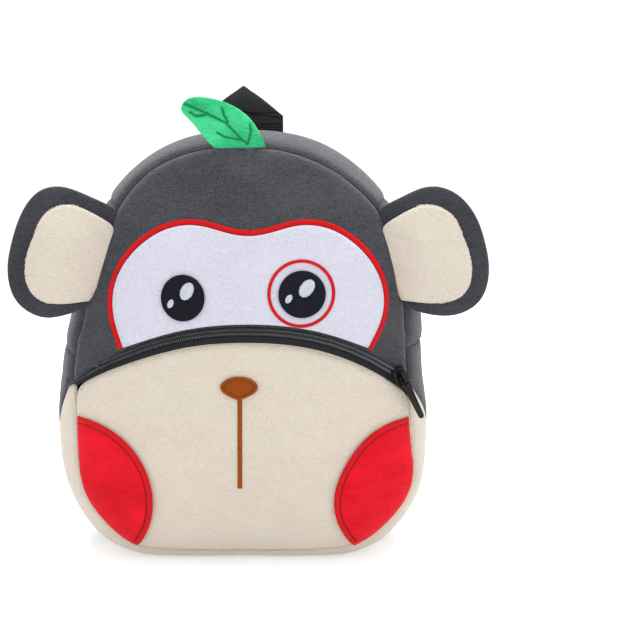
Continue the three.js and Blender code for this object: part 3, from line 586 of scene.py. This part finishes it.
# %% [markdown]
# ## Bars and tubes along lines
# Satin stitches, zip teeth, tufts of pile and the ribs of webbing are all the same thing: short bars
# in a row along a line. One Geometry Nodes tree lays them. It resamples the line, lifts it, turns a
# bar by the line's own `across` and `out` vectors, varies its length a little, and realizes the row.
# A second, smaller tree runs a tube along each line, for folded edges and long ribs.


# %% Trees with named inputs
class Nodes(Tree):
    """A Geometry Nodes tree with named inputs."""

    def __init__(self, name, sizes):
        group = bpy.data.node_groups.new(name, "GeometryNodeTree")
        super().__init__(group)
        group.interface.new_socket("Geometry", in_out="OUTPUT", socket_type="NodeSocketGeometry")
        numbers = dict.fromkeys(sizes, "Float")
        kinds = {"Geometry": "Geometry", **numbers, "Seed": "Int", "Material": "Material"}
        self.keys = {}
        for label, kind in kinds.items():
            socket = group.interface.new_socket(label, in_out="INPUT", socket_type="NodeSocket" + kind)
            self.keys[label] = socket.identifier
        self.inputs = group.nodes.new("NodeGroupInput")

    def given(self, label):
        return Wire(self, self.inputs.outputs[label])

    def finish(self, geometry):
        whole = self.node("GeometryNodeRealizeInstances", {"Geometry": geometry})
        paint = {"Geometry": whole, "Material": self.given("Material")}
        painted = self.node("GeometryNodeSetMaterial", paint)
        self.node("NodeGroupOutput", {"Geometry": painted})

    def run(self, name, line, material, slot, body="bag", **values):
        """The tree's result on a line mesh, as a plain piece that rides on a body."""
        holder = bpy.data.objects.new("line", line)
        scene.collection.objects.link(holder)
        modifier = holder.modifiers.new("tree", "NODES")
        modifier.node_group = self.tree
        for label, value in {**values, "Material": material}.items():
            modifier[self.keys[label]] = value
        bake(holder)
        mesh = holder.data
        bpy.data.objects.remove(holder)
        piece = new_piece(name, mesh, material)
        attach(piece, body)
        print(name, len(mesh.polygons), "faces")
        return piece


# %% Bars along a line
END_GIRTH = 0.45
BAR_SIZES = ["Spacing", "Length", "Width", "Height", "Bluntness", "Turn", "Jitter", "Lift"]

bars = Nodes("bars along a line", BAR_SIZES)
across, out = [bars.node("GeometryNodeInputNamedAttribute", {"Name": name}, data_type="FLOAT_VECTOR")
               for name in ("across", "out")]
line = bars.node("GeometryNodeMeshToCurve", {"Mesh": bars.given("Geometry")})
spaced = {"Curve": line, "Length": bars.given("Spacing")}
line = bars.node("GeometryNodeResampleCurve", spaced, mode="LENGTH")
raised = bars.node("ShaderNodeVectorMath", {0: out, "Scale": bars.given("Lift")}, operation="SCALE")
line = bars.node("GeometryNodeSetPosition", {"Geometry": line, "Offset": raised})

rod = {"Vertices": 6, "Side Segments": 4, "Radius": 1.0, "Depth": 2.0}
bar = bars.node("GeometryNodeMeshCylinder", rod)
spot = bars.node("GeometryNodeInputPosition")
x, y, z = [bars.node("ShaderNodeSeparateXYZ", {0: spot}, out=axis) for axis in range(3)]
past_half = (abs(z) * 2 - 1).math("MAXIMUM", abs(z) * 2 - 1, 0.0)
girth = 1 - past_half * (1 - END_GIRTH)
far = 1 - (1 - abs(z)) ** bars.given("Bluntness")
blunt = bars.node("ShaderNodeCombineXYZ", {0: x * girth, 1: y * girth, 2: z.math("SIGN", z) * far})
bar = bars.node("GeometryNodeSetPosition", {"Geometry": bar, "Position": blunt})
halves = [bars.given(label) * 0.5 for label in ("Width", "Height", "Length")]
size = bars.node("ShaderNodeCombineXYZ", dict(enumerate(halves)))
bar = bars.node("GeometryNodeTransform", {"Geometry": bar, "Scale": size})

axes = {"Primary Axis": across, "Secondary Axis": out}
facing = bars.node("FunctionNodeAxesToRotation", axes, primary_axis="Z", secondary_axis="Y")
turn = bars.node("FunctionNodeAxisAngleToRotation", {"Axis": (0, 1, 0), "Angle": bars.given("Turn")})
facing = bars.node("FunctionNodeRotateRotation", {0: facing, 1: turn}, rotation_space="LOCAL")
jitter = bars.given("Jitter")
limits = {2: 1 - jitter, 3: 1 + jitter, "Seed": bars.given("Seed")}
varied = bars.node("FunctionNodeRandomValue", limits, out=1)
reach = bars.node("GeometryNodeInputNamedAttribute", {"Name": "reach"}, data_type="FLOAT")
stretch = bars.node("ShaderNodeCombineXYZ", {0: 1.0, 1: 1.0, 2: varied * reach})
placed = {"Points": line, "Instance": bar, "Rotation": facing, "Scale": stretch}
bars.finish(bars.node("GeometryNodeInstanceOnPoints", placed))

# %% Tubes along lines
tubes = Nodes("tubes along lines", ["Radius"])
run = tubes.node("GeometryNodeMeshToCurve", {"Mesh": tubes.given("Geometry")})
ring = tubes.node("GeometryNodeCurvePrimitiveCircle", {"Resolution": 8, "Radius": tubes.given("Radius")})
swept = {"Curve": run, "Profile Curve": ring, "Fill Caps": True}
tubes.finish(tubes.node("GeometryNodeCurveToMesh", swept))
print("trees:", [group.name for group in bpy.data.node_groups])


# %% Lines for the trees
def line_mesh(paths):
    """A mesh of edge chains from paths of points, outward normals, bar reaches and whether they close."""
    corners, edges, across, outs, reaches = [], [], [], [], []
    for points, normals, reach, closed in paths:
        start, count = len(corners), len(points)
        along = np.roll(points, -1, 0) - np.roll(points, 1, 0)
        if not closed:
            along[0], along[-1] = points[1] - points[0], points[-1] - points[-2]
        corners.extend(points)
        outs.extend(normals)
        across.extend(np.cross(normals, along))
        reaches.extend(np.broadcast_to(reach, count))
        edges.extend((start + i, start + (i + 1) % count) for i in range(count if closed else count - 1))
    return with_attributes(corners, edges, across, outs, reaches)


def with_attributes(corners, edges, across, outs, reaches):
    mesh = bpy.data.meshes.new("line")
    mesh.from_pydata([tuple(corner) for corner in corners], edges, [])
    rows = [("across", "FLOAT_VECTOR", "vector", across), ("out", "FLOAT_VECTOR", "vector", outs),
            ("reach", "FLOAT", "value", reaches)]
    for label, kind, key, values in rows:
        attribute = mesh.attributes.new(label, kind, "POINT")
        attribute.data.foreach_set(key, np.asarray(values, np.float32).ravel())
    return mesh


def sewn(surface, places, reach=1.0, closed=False, side=FRONT):
    """A path on a surface through places given as x and z."""
    points, normals, hit = laid_on(surface, places, side)
    return points, normals, np.broadcast_to(reach, len(hit))[hit], closed


SATIN = {"Spacing": 0.42 * MM, "Width": 0.6 * MM, "Height": 0.9 * MM, "Bluntness": 2.0,
         "Turn": 0.0, "Jitter": 0.05, "Lift": 0.2 * MM, "Seed": 3}


def satin(name, paths, width, material, slot):
    """A satin column: close stitches straight across a line."""
    return bars.run(name, line_mesh(paths), material, slot, Length=width, **SATIN)


def ellipse(x, z, half_x, half_z, count=96):
    angles = np.arange(count) * math.tau / count
    return np.stack([x + half_x * np.cos(angles), z + half_z * np.sin(angles)], axis=1)


def polyline(places, count=24):
    """Evenly stepped places along a line through a few, which are given in millimetres."""
    places = np.array(places) * MM
    steps = np.linspace(0, len(places) - 1, count)
    rows = [np.interp(steps, range(len(places)), places[:, axis]) for axis in range(2)]
    return np.stack(rows, axis=1)


# %% [markdown]
# ## Turned edges
# Behind a seam the edges of both cloths are turned in. A roll of the same cloth lies just under the
# rim of each, so that nothing shows through where three cloths meet.

# %% Turned edges
TURN_DEPTH = 1.7 * MM
TURN_RADIUS = 1.4 * MM

for name, cloth in cloths.items():
    normals = normals_of(cloth)[rims[name]]
    roll = points_of(cloth)[rims[name]] - normals * TURN_DEPTH
    tubes.run(name + "_turned_edge", line_mesh([(roll, normals, 1.0, True)]), cloth.data.materials[0],
              "plush_cream" if name in ("muzzle_cloth", "cream_band") else "plush_dark", Radius=TURN_RADIUS)

# %% [markdown]
# ## Eye mask, eyes and muzzle
# The white mask, the red cheeks and the stitched eyes start from their solids, rounded and moved
# with the cloth, and sink a little into the pile that they are sewn to. Satin columns then cover
# the mask's edge and the cheeks' inner edge, ring one eye and draw the mouth.

# %% Patches on the front
SHARP = math.radians(40)
RIM_CREASE = 1.0
PATCHES = [  # piece, node, finish, slot, how far it sinks into the pile under it
    ("eye_mask_cloth", "eye_mask", WHITE_PLUSH, "felt_white", 0.55 * MM),
    ("left_pupil", "pupil_left", BLACK_FILL, "thread_black", 1.2 * MM),
    ("right_pupil", "pupil_right", BLACK_FILL, "thread_black", 1.2 * MM),
    ("nose_fill", "nose", BROWN_FILL, "thread_brown", 0.7 * MM),
    ("right_cheek", "cheek_right", RED_PLUSH, "plush_red", 0.55 * MM),
    ("left_cheek", "cheek_left", RED_PLUSH, "plush_red", 0.55 * MM),
]


def crease_rims(made, held=lambda vertex: True):
    """Marks a solid's sharp edges where it is held, so that rounding keeps them."""
    crease = made.edges.layers.float.new("crease_edge")
    for edge in made.edges:
        if edge.calc_face_angle(0) > SHARP and all(held(vertex) for vertex in edge.verts):
            edge[crease] = RIM_CREASE


def patch_from(node, name, material, follow, sink=0.0):
    """A thin piece sewn to a cloth: its solid, rounded and moved as the cloth was."""
    pattern = copied(node)
    crease_rims(pattern)
    patch = piece_from(pattern, name, material)
    subdivide(patch, 2)
    bake(patch)
    place_points(patch, follow(points_of(patch)) + (0, sink, 0))
    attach(patch, "bag")
    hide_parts(node)
    return patch


patches = {}
for name, node, material, slot, sink in PATCHES:
    patches[name] = patch_from(node, name, material, with_body, sink)
    print(name, len(patches[name].data.polygons), "faces")


# %% Edge of a patch
def rim_of(node, outward=0.0):
    """The edge of a patch as x and z places, clockwise from its foot, moved outward by a distance."""
    pattern = copied(node)
    keep_outside(pattern)
    sheet = piece_from(pattern, "rim", WHITE_PLUSH)
    subdivide(sheet, 2)
    bake(sheet)
    places = points_of(sheet)[open_edge(sheet)][:, [0, 2]]
    bpy.data.objects.remove(sheet)
    middle_x, middle_z, _, _ = middle_and_half(node)
    places = places[np.argsort(np.arctan2(places[:, 0] - middle_x, places[:, 1] - middle_z))]
    along = np.roll(places, -1, 0) - np.roll(places, 1, 0)
    along /= np.linalg.norm(along, axis=1, keepdims=True)
    return places + outward * np.stack([-along[:, 1], along[:, 0]], axis=1)


def free_edge(node, rim, off, inset=0.0):
    """The part of a patch's edge that lies further off than a distance from a cloth's rim."""
    near_rim = tree_over([(x, 0, z) for x, _, z in rim])
    free = np.array([near_rim.find((x, 0, z))[2] > off for x, z in rim_of(node)])
    start = next(i for i in range(len(free)) if free[i] and not free[i - 1])
    return np.roll(rim_of(node, -inset), -start, axis=0)[np.roll(free, -start)]


# %% Stitched edges
BORDER_WIDTH = 3.4 * MM
BORDER_OUT = 1.6 * MM
RING_WIDTH = 1.9 * MM
NOSE_EDGE = 1.3 * MM
MOUTH_WIDTH = 2.7 * MM
CHEEK_EDGE = 3.2 * MM
CHEEK_OFF_SEAM = 2.6 * MM
# Size of the thin dark tubes inside the satin of the nose and the cheeks, which are painted shadow.
SHADOW_LINE = 0.4 * MM

front = surface_of(cloths["face_cloth"], cloths["muzzle_cloth"])
on_mask = surface_of(patches["eye_mask_cloth"])
on_nose = surface_of(patches["nose_fill"])

solid_border = surface_of(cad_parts["mask_border"])
edge = [place for place in rim_of("eye_mask", BORDER_OUT) if len(laid_on(solid_border, [place])[0])]
border = satin("mask_satin", [sewn(front, edge)], BORDER_WIDTH, RED_THREAD, "thread_red")
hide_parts("mask_border")

ring_x, ring_z, ring_half, _ = middle_and_half("eye_ring")
ring_half -= RING_WIDTH / 2
places = ellipse(ring_x, ring_z, ring_half, ring_half)
ring = satin("eye_ring_satin", [sewn(on_mask, places, closed=True)], RING_WIDTH, RED_THREAD, "thread_red")
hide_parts("eye_ring")

satin("nose_satin", [sewn(on_nose, rim_of("nose", -NOSE_EDGE / 2), closed=True)], NOSE_EDGE,
      BROWN_THREAD, "thread_brown")
# A dark tube inside the nose's satin outline is painted shadow, where the raised satin meets the fill.
shadow_line = sewn(on_nose, rim_of("nose", -NOSE_EDGE - SHADOW_LINE / 2), closed=True)
tubes.run("nose_shadow_line", line_mesh([shadow_line]), BROWN_PAINTED_SHADOW, "thread_brown", Radius=SHADOW_LINE)
mouth_x, mouth_z, _, mouth_half = middle_and_half("mouth")
heights = np.linspace(mouth_z - mouth_half, mouth_z + mouth_half, 40)
mouth = satin("mouth_satin", [sewn(front, [(mouth_x, height) for height in heights])], MOUTH_WIDTH,
              BROWN_THREAD, "thread_brown")
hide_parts("mouth")

muzzle_rim = rests["muzzle_cloth"][rims["muzzle_cloth"]]
for side in ("right", "left"):
    on_cheek = surface_of(patches[side + "_cheek"])
    arc = sewn(on_cheek, free_edge("cheek_" + side, muzzle_rim, CHEEK_OFF_SEAM, CHEEK_EDGE / 2))
    satin(side + "_cheek_satin", [arc], CHEEK_EDGE, RED_THREAD, "thread_red")
    # A dark tube along the satin's inner side is painted shadow, where the raised satin meets the cheek's
    # plush.
    shadow_line = sewn(on_cheek, free_edge("cheek_" + side, muzzle_rim, CHEEK_OFF_SEAM, CHEEK_EDGE + SHADOW_LINE))
    tubes.run(side + "_cheek_shadow_line", line_mesh([shadow_line]), RED_PAINTED_SHADOW, "thread_red", Radius=SHADOW_LINE)

# %% [markdown]
# Each eye has two stitched highlights. A highlight is a satin column whose stitches are short at its
# ends and long in its middle, so that it comes out as an oval.

# %% Highlights in the eyes
HIGHLIGHTS = [  # eye, middle x and z, half length, width, lean from upright in degrees
    ("left", -31.3, 166.7, 5.1, 7.2, 27),
    ("left", -40.5, 159.7, 2.4, 3.4, 25),
    ("right", 35.6, 168.4, 5.4, 7.6, 38),
    ("right", 25.5, 162.6, 2.5, 3.4, 32),
]
HIGHLIGHT_STEPS = 15

for number, (eye, x, z, half, width, lean) in enumerate(HIGHLIGHTS):
    along = Vector((math.sin(math.radians(lean)), math.cos(math.radians(lean))))
    shares = np.linspace(-0.94, 0.94, HIGHLIGHT_STEPS)
    places = [((x + along[0] * half * share) * MM, (z + along[1] * half * share) * MM) for share in shares]
    oval = np.sqrt(1 - shares ** 2)
    path = sewn(surface_of(patches[eye + "_pupil"]), places, oval)
    satin(f"highlight_{number}", [path], width * MM, WHITE_THREAD, "felt_white")

# %% [markdown]
# ## Zip
# A nylon coil zip is two woven tapes with a coil sewn along each. From the front the closed coil
# reads as two rows of slanted bars, so that is what is laid along it. The cut edge of the cream
# pile below it is never clean, and a row of uneven tufts roughens it.

# %% Tapes and coil
COIL_ROW = 0.95 * MM
COIL = {"Spacing": 1.35 * MM, "Length": 2.1 * MM, "Width": 0.62 * MM, "Height": 1.5 * MM, "Bluntness": 2.0,
        "Jitter": 0.0, "Lift": 0.3 * MM, "Seed": 1}
COIL_SLANT = 0.4
COIL_INSET = 1.5 * MM
RIDGE_OFF = 2.9 * MM
RIDGE_RADIUS = 0.45 * MM
ZIP_STEPS = 90
SCAN_STEP = 0.15 * MM


def column_of(surface, x, low, high, side=FRONT):
    """The heights between low and high at which a surface is seen at x."""
    heights = np.arange(low, high, SCAN_STEP)
    towards = Vector((0, -side, 0))
    return [z for z in heights if surface.ray_cast(Vector((x, side * STANDOFF, z)), towards)[0] is not None]


def middle_line(node, inset):
    """The x and z places along the middle of a strip across the bag, and its share of its full width."""
    surface = surface_of(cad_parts[node])
    low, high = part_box(node)
    places, widths = [], []
    for x in np.linspace(low.x + inset, high.x - inset, ZIP_STEPS):
        seen = column_of(surface, x, low.z, high.z)
        places.append((x, (seen[0] + seen[-1]) / 2))
        widths.append(seen[-1] - seen[0])
    middle_width = widths[ZIP_STEPS // 2]
    return np.array(places), np.minimum(np.array(widths) / middle_width, 1)


def beside(places, distances):
    """A line of places moved sideways, upward for a line that runs to the right."""
    along = np.gradient(places, axis=0)
    along /= np.linalg.norm(along, axis=1, keepdims=True)
    return places + np.stack([-along[:, 1], along[:, 0]], axis=1) * distances[:, None]


tapes = [patch_from("zip_tape_" + part, name, ZIP_TAPE, with_body)
         for part, name in (("upper", "zip_tape_above"), ("lower", "zip_tape_below"))]
# The core is painted shade between the coil's turns, and the coil's bars are painted highlight.
core = patch_from("zip_teeth", "zip_coil_core", ZIP_CORE_SHADE, with_body)
coil_line, narrowing = middle_line("zip_teeth", COIL_INSET)
on_core = surface_of(core)
for row, name in ((1, "upper"), (-1, "lower")):
    path = sewn(on_core, beside(coil_line, row * COIL_ROW * narrowing), narrowing)
    bars.run("zip_coil_" + name, line_mesh([path]), ZIP_COIL_HIGHLIGHT, "plastic_black",
             Turn=row * COIL_SLANT, **COIL)
ridge = sewn(surface_of(*tapes), beside(coil_line, -RIDGE_OFF * narrowing))
tubes.run("zip_tape_ridge", line_mesh([ridge]), ZIP_TAPE, "webbing_black", Radius=RIDGE_RADIUS)

# %% Pile at cut edges
TUFTS = {"Spacing": 0.6 * MM, "Width": 0.75 * MM, "Height": 0.7 * MM, "Bluntness": 1.3, "Turn": 0.15,
         "Jitter": 0.5, "Lift": 0.0, "Seed": 11}
MUZZLE_TUFT = 1.9 * MM
LINING_TUFT = 1.1 * MM
EDGE_INSET = 4 * MM
EDGE_ABOVE = 2 * MM  # how far over its solid the stuffed edge is looked for
TUFT_ROOT = 0.3 * MM

muzzle = surface_of(cloths["muzzle_cloth"])
muzzle_low, muzzle_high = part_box("muzzle_panel")
muzzle_edge = []
for x in np.linspace(muzzle_low.x + EDGE_INSET, muzzle_high.x - EDGE_INSET, ZIP_STEPS):
    seen = column_of(muzzle, x, (muzzle_low.z + muzzle_high.z) / 2, muzzle_high.z + EDGE_ABOVE)
    muzzle_edge.append((x, seen[-1] - TUFT_ROOT))
bars.run("muzzle_edge_pile", line_mesh([sewn(muzzle, muzzle_edge)]), CREAM_PLUSH, "plush_cream",
         Length=MUZZLE_TUFT, **TUFTS)

# %% [markdown]
# ## Slider, pull and buckles
# These are the only hard pieces. Their solids already have the right shape, so a narrow bevel is all
# that a moulding needs: it catches the light along every edge.

# %% Moulded pieces
MOULDED = [  # piece, node, bevel, body
    ("slider", "zip_slider", 0.35 * MM, "bag"),
    ("pull", "zip_pull", 0.3 * MM, "zip_pull"),
    ("ladder_buckle_right", "buckle_right", 0.5 * MM, "bag"),
    ("ladder_buckle_left", "buckle_left", 0.5 * MM, "bag"),
]
FLAT = math.radians(1)

for name, node, width, body in MOULDED:
    made = copied(node)
    bmesh.ops.dissolve_limit(made, angle_limit=FLAT, verts=made.verts, edges=made.edges)
    piece = piece_from(made, name, BLACK_PLASTIC)
    bevel = piece.modifiers.new("edges", "BEVEL")
    bevel.width = width
    bevel.segments = 3
    bevel.limit_method = "ANGLE"
    bevel.harden_normals = True
    bake(piece)
    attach(piece, body)
    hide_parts(node)
    print(name, len(piece.data.polygons), "faces")

# %% [markdown]
# ## Ears
# An ear is a flat stuffed shape that is caught in the seam along its root. The same simulation fills
# it, with only the root held, and the seam then draws the root in behind the edge of the face. The
# cream lining is sewn to its front, so it follows the ear's cloth.


# %% Stuffed pieces
def stuffed(node, name, material, levels, held=lambda vertex: False):
    """A closed copy of a solid, ready to be stuffed. It keeps its sharp edges where a seam holds it."""
    made = copied(node)
    crease_rims(made, held)
    piece = piece_from(made, name, material)
    subdivide(piece, levels)
    bake(piece)
    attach(piece, "bag")
    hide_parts(node)
    return piece


# %% Ears
ROOT_HOLD = 3.5 * MM
EAR_DRAW = 4.5 * MM
EAR_PINCH = 0.8  # share of the way to the seam that the root is pressed
TUCK = 1.5 * MM  # how far behind the seam that is
LINING_DRAW = 3.5 * MM
ROOT_HALF = 9 * MM
HEAD_MIDDLE = np.array((0, -38, 186)) * MM
LINING_SINK = 0.5 * MM
LINING_OFF_SEAM = 18 * MM
ROOT_CLOTHS = ("face_cloth", "side_band_right", "side_band_left", "crown_band")

seams = surface_of(*(cloths[name] for name in ROOT_CLOTHS))
face_rim = rests["face_cloth"][rims["face_cloth"]]
near_face_rim = tree_over(face_rim)


def at_root(vertex):
    return seams.find_nearest(vertex.co)[3] < ROOT_HOLD


def draw_in(piece, most, pinch=0.0):
    """Draws a root towards the middle of the head, behind the face's seam, and pinches it there."""
    points = points_of(piece)
    found = [near_face_rim.find(point) for point in points]
    seam_y = np.array([seam.y for seam, _, _ in found])
    off_rim = np.array([distance for _, _, distance in found])
    inward = HEAD_MIDDLE - points
    inward[:, 1] = 0
    inward *= most / np.linalg.norm(inward, axis=1, keepdims=True)
    inward[:, 1] = (seam_y + TUCK - points[:, 1]) * pinch
    place_points(piece, points + inward * np.exp(-(off_rim / ROOT_HALF) ** 2)[:, None])


for side in ("right", "left"):
    # The ear's cloth is the grey plush darkened, as painted shade.
    ear = stuffed("ear_" + side, side + "_ear", SHADED_GREY_PLUSH, 2, at_root)
    rest = points_of(ear)
    root = [vertex.index for vertex in ear.data.vertices if at_root(vertex)]
    stuff(ear, root, pressure=1.0, growth=0.03, most=1.4 * MM)
    draw_in(ear, EAR_DRAW, EAR_PINCH)
    with_ear = follower(rest, points_of(ear) - rest)
    lining = patch_from("ear_lining_" + side, side + "_ear_lining", CREAM_PLUSH, with_ear,
                        LINING_SINK)
    draw_in(lining, LINING_DRAW)
    edge = sewn(surface_of(lining, ear), free_edge("ear_lining_" + side, face_rim, LINING_OFF_SEAM))
    bars.run(side + "_lining_pile", line_mesh([edge]), CREAM_PLUSH, "plush_cream",
             Length=LINING_TUFT, **TUFTS)

# %% [markdown]
# ## Leaf
# The leaf is a small flat cushion with its veins stitched right through. The stitching is what
# shapes it, so the veins are pressed in first and held while the cloth between them swells. Its root
# is caught in the seam over the face, like an ear's.

# %% Leaf
VEINS = [  # x and z in millimetres, each from its root
    [(2.5, 247.4), (-3.1, 252.6), (-9.3, 259.2), (-19.7, 264.2), (-32.0, 269.6)],
    [(-8.3, 259.7), (-10.6, 263.5), (-11.7, 267.3)],
    [(2.8, 247.7), (4.5, 254.8), (3.9, 258.6)],
    [(-1.1, 249.9), (-10, 251.5), (-14.5, 254)],
    [(-20.8, 263.6), (-26.1, 263), (-29.8, 265.1)],
]
VEIN_HALF = 2.2 * MM
VEIN_DEPTH = 0.7  # share of the leaf's thickness that the stitching takes up
VEIN_WIDTH = 1.0 * MM
VEIN_HOLD = 0.9 * MM
LEAF_RIM = 1.4 * MM
LEAF_DRAW = 1.2 * MM
LEAF_PINCH = 0.9

leaf_low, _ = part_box("leaf")
leaf = stuffed("leaf", "leaf_cushion", GREEN_PLUSH, 3,
               held=lambda vertex: vertex.co.z < leaf_low.z + LEAF_RIM)
draw_in(leaf, LEAF_DRAW, LEAF_PINCH)
vein_lines = [polyline(vein, 30) for vein in VEINS]
on_veins = tree_over([(x, 0, z) for vein in vein_lines for x, z in vein])
rest = points_of(leaf)
leaf_middle = (rest[:, 1].min() + rest[:, 1].max()) / 2
far_off = np.array([on_veins.find((x, 0, z))[2] for x, _, z in rest])
rest[:, 1] -= (rest[:, 1] - leaf_middle) * VEIN_DEPTH * np.exp(-(far_off / VEIN_HALF) ** 2)
place_points(leaf, rest)
held = (far_off < VEIN_HOLD) | (rest[:, 2] < rest[:, 2].min() + LEAF_RIM)
stuff(leaf, np.flatnonzero(held), pressure=4.0, growth=0.1, most=1.8 * MM)
on_leaf = surface_of(leaf)
veins = [sewn(on_leaf, vein, side=side) for vein in vein_lines for side in (FRONT, BEHIND)]
satin("leaf_veins", veins, VEIN_WIDTH, GREEN_THREAD, "plush_green")

# %% [markdown]
# ## Webbing
# Webbing is woven with thick weft cords that show as ribs straight across it. A copy of each solid
# is the core, and a bar is laid for every rib. On the two strap runs the ribs follow the rungs of the
# solid itself: each edge that crosses the whole width gives a point of the line. The grab loop is one
# strip folded into a gable, where the weave turns and the ribs stand upright. Its fold stands up and
# its shoulders sag a little.

# %% Strap runs
RIB = {"Spacing": 1.45 * MM, "Width": 1.4 * MM, "Height": 0.6 * MM, "Bluntness": 5.0, "Turn": 0.0,
       "Jitter": 0.0, "Lift": 0.0, "Seed": 2}
WEBBING_WIDTH = 23.6 * MM
RIB_LENGTH = WEBBING_WIDTH - 0.4 * MM


def webbing_core(node, name):
    made = copied(node)
    crease_rims(made)
    core = piece_from(made, name, BLACK_WEBBING)
    subdivide(core, 2)
    bake(core)
    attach(core, "bag")
    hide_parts(node)
    return core


def rung_loop(node):
    """A line over a strip of webbing, through the middle of each edge that crosses its whole width."""
    made = copied(node)
    rungs = [e for e in made.edges if abs(e.verts[0].co.x - e.verts[1].co.x) > WEBBING_WIDTH * 0.9]
    places = {edge: index for index, edge in enumerate(rungs)}
    corners = [(edge.verts[0].co + edge.verts[1].co) / 2 for edge in rungs]
    outs = [sum((face.normal for face in edge.link_faces), Vector()).normalized() for edge in rungs]
    links = {tuple(sorted(places[e] for e in face.edges if e in places)) for face in made.faces}
    links = [link for link in links if len(link) == 2]
    made.free()
    count = len(corners)
    return with_attributes(corners, links, [(1, 0, 0)] * count, outs, [1.0] * count)


for side in ("right", "left"):
    for node, name in (("strap_loop", "sewn_loop"), ("strap_webbing", "lower_strap")):
        webbing_core(f"{node}_{side}", f"{name}_{side}")
        bars.run(f"{name}_ribs_{side}", rung_loop(f"{node}_{side}"), BLACK_WEBBING, "webbing_black",
                 Length=RIB_LENGTH, **RIB)

# %% Grab loop
HANDLE_X = 0.4 * MM
LEG_X = 13.4 * MM
LEG_TOP = 267.2 * MM
LEG_RIBS_TOP = 262.8 * MM
GABLE_HALF = 24 * MM
RIB_RADIUS = 0.55 * MM
RIB_INSET = 6  # scanned heights that a rib stops short of the edge
FOLD_LIFT = 1.8 * MM
SHOULDER_SAG = 2.4 * MM
LEAN = (0.15, 0.66)  # backward for each unit of height, at the loop's root and under its gable

loop = webbing_core("handle", "grab_loop")
loop_low, loop_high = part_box("handle")
points = points_of(loop)
standing = np.clip((points[:, 2] - loop_low.z) / (LEG_TOP - loop_low.z), 0, 1)
off_middle = np.abs(points[:, 0] - HANDLE_X)
slide = standing * np.interp(off_middle, (0, GABLE_HALF), (FOLD_LIFT, -SHOULDER_SAG))
points[:, 1] += slide * np.interp(standing, (0, 1), LEAN)
points[:, 2] += slide
place_points(loop, points)
on_loop = surface_of(loop)


def upright(x, low, high, side):
    seen = column_of(on_loop, x, low, high, side)[RIB_INSET:-RIB_INSET]
    return sewn(on_loop, [(x, z) for z in seen], side=side)


legs = [upright(HANDLE_X + leg * LEG_X, loop_low.z, LEG_RIBS_TOP, side)
        for leg in (-1, 1) for side in (FRONT, BEHIND)]
bars.run("grab_loop_leg_ribs", line_mesh(legs), BLACK_WEBBING, "webbing_black", Length=RIB_LENGTH, **RIB)
columns = np.arange(-GABLE_HALF, GABLE_HALF, RIB["Spacing"]) + HANDLE_X
gable = [upright(x, LEG_TOP, loop_high.z + FOLD_LIFT, side)
         for x in columns for side in (FRONT, BEHIND)]
tubes.run("grab_loop_gable_ribs", line_mesh([path for path in gable if len(path[0]) > 2]), BLACK_WEBBING,
          "webbing_black", Radius=RIB_RADIUS)

# %% [markdown]
# ## Shoulder straps
# The straps are tubes of red plush with a slab of foam inside. The simulation rounds them between
# their two sewn ends.

# %% Shoulder straps
END_HOLD = 6 * MM

for side in ("right", "left"):
    node = "strap_pad_" + side
    pad = stuffed(node, "shoulder_strap_" + side, RED_PLUSH, 2)
    low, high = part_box(node)
    heights = points_of(pad)[:, 2]
    ends = np.flatnonzero((heights < low.z + END_HOLD) | (heights > high.z - END_HOLD))
    stuff(pad, ends, pressure=1.0, growth=0.04, most=1.4 * MM)
    print(pad.name, len(pad.data.polygons), "faces")
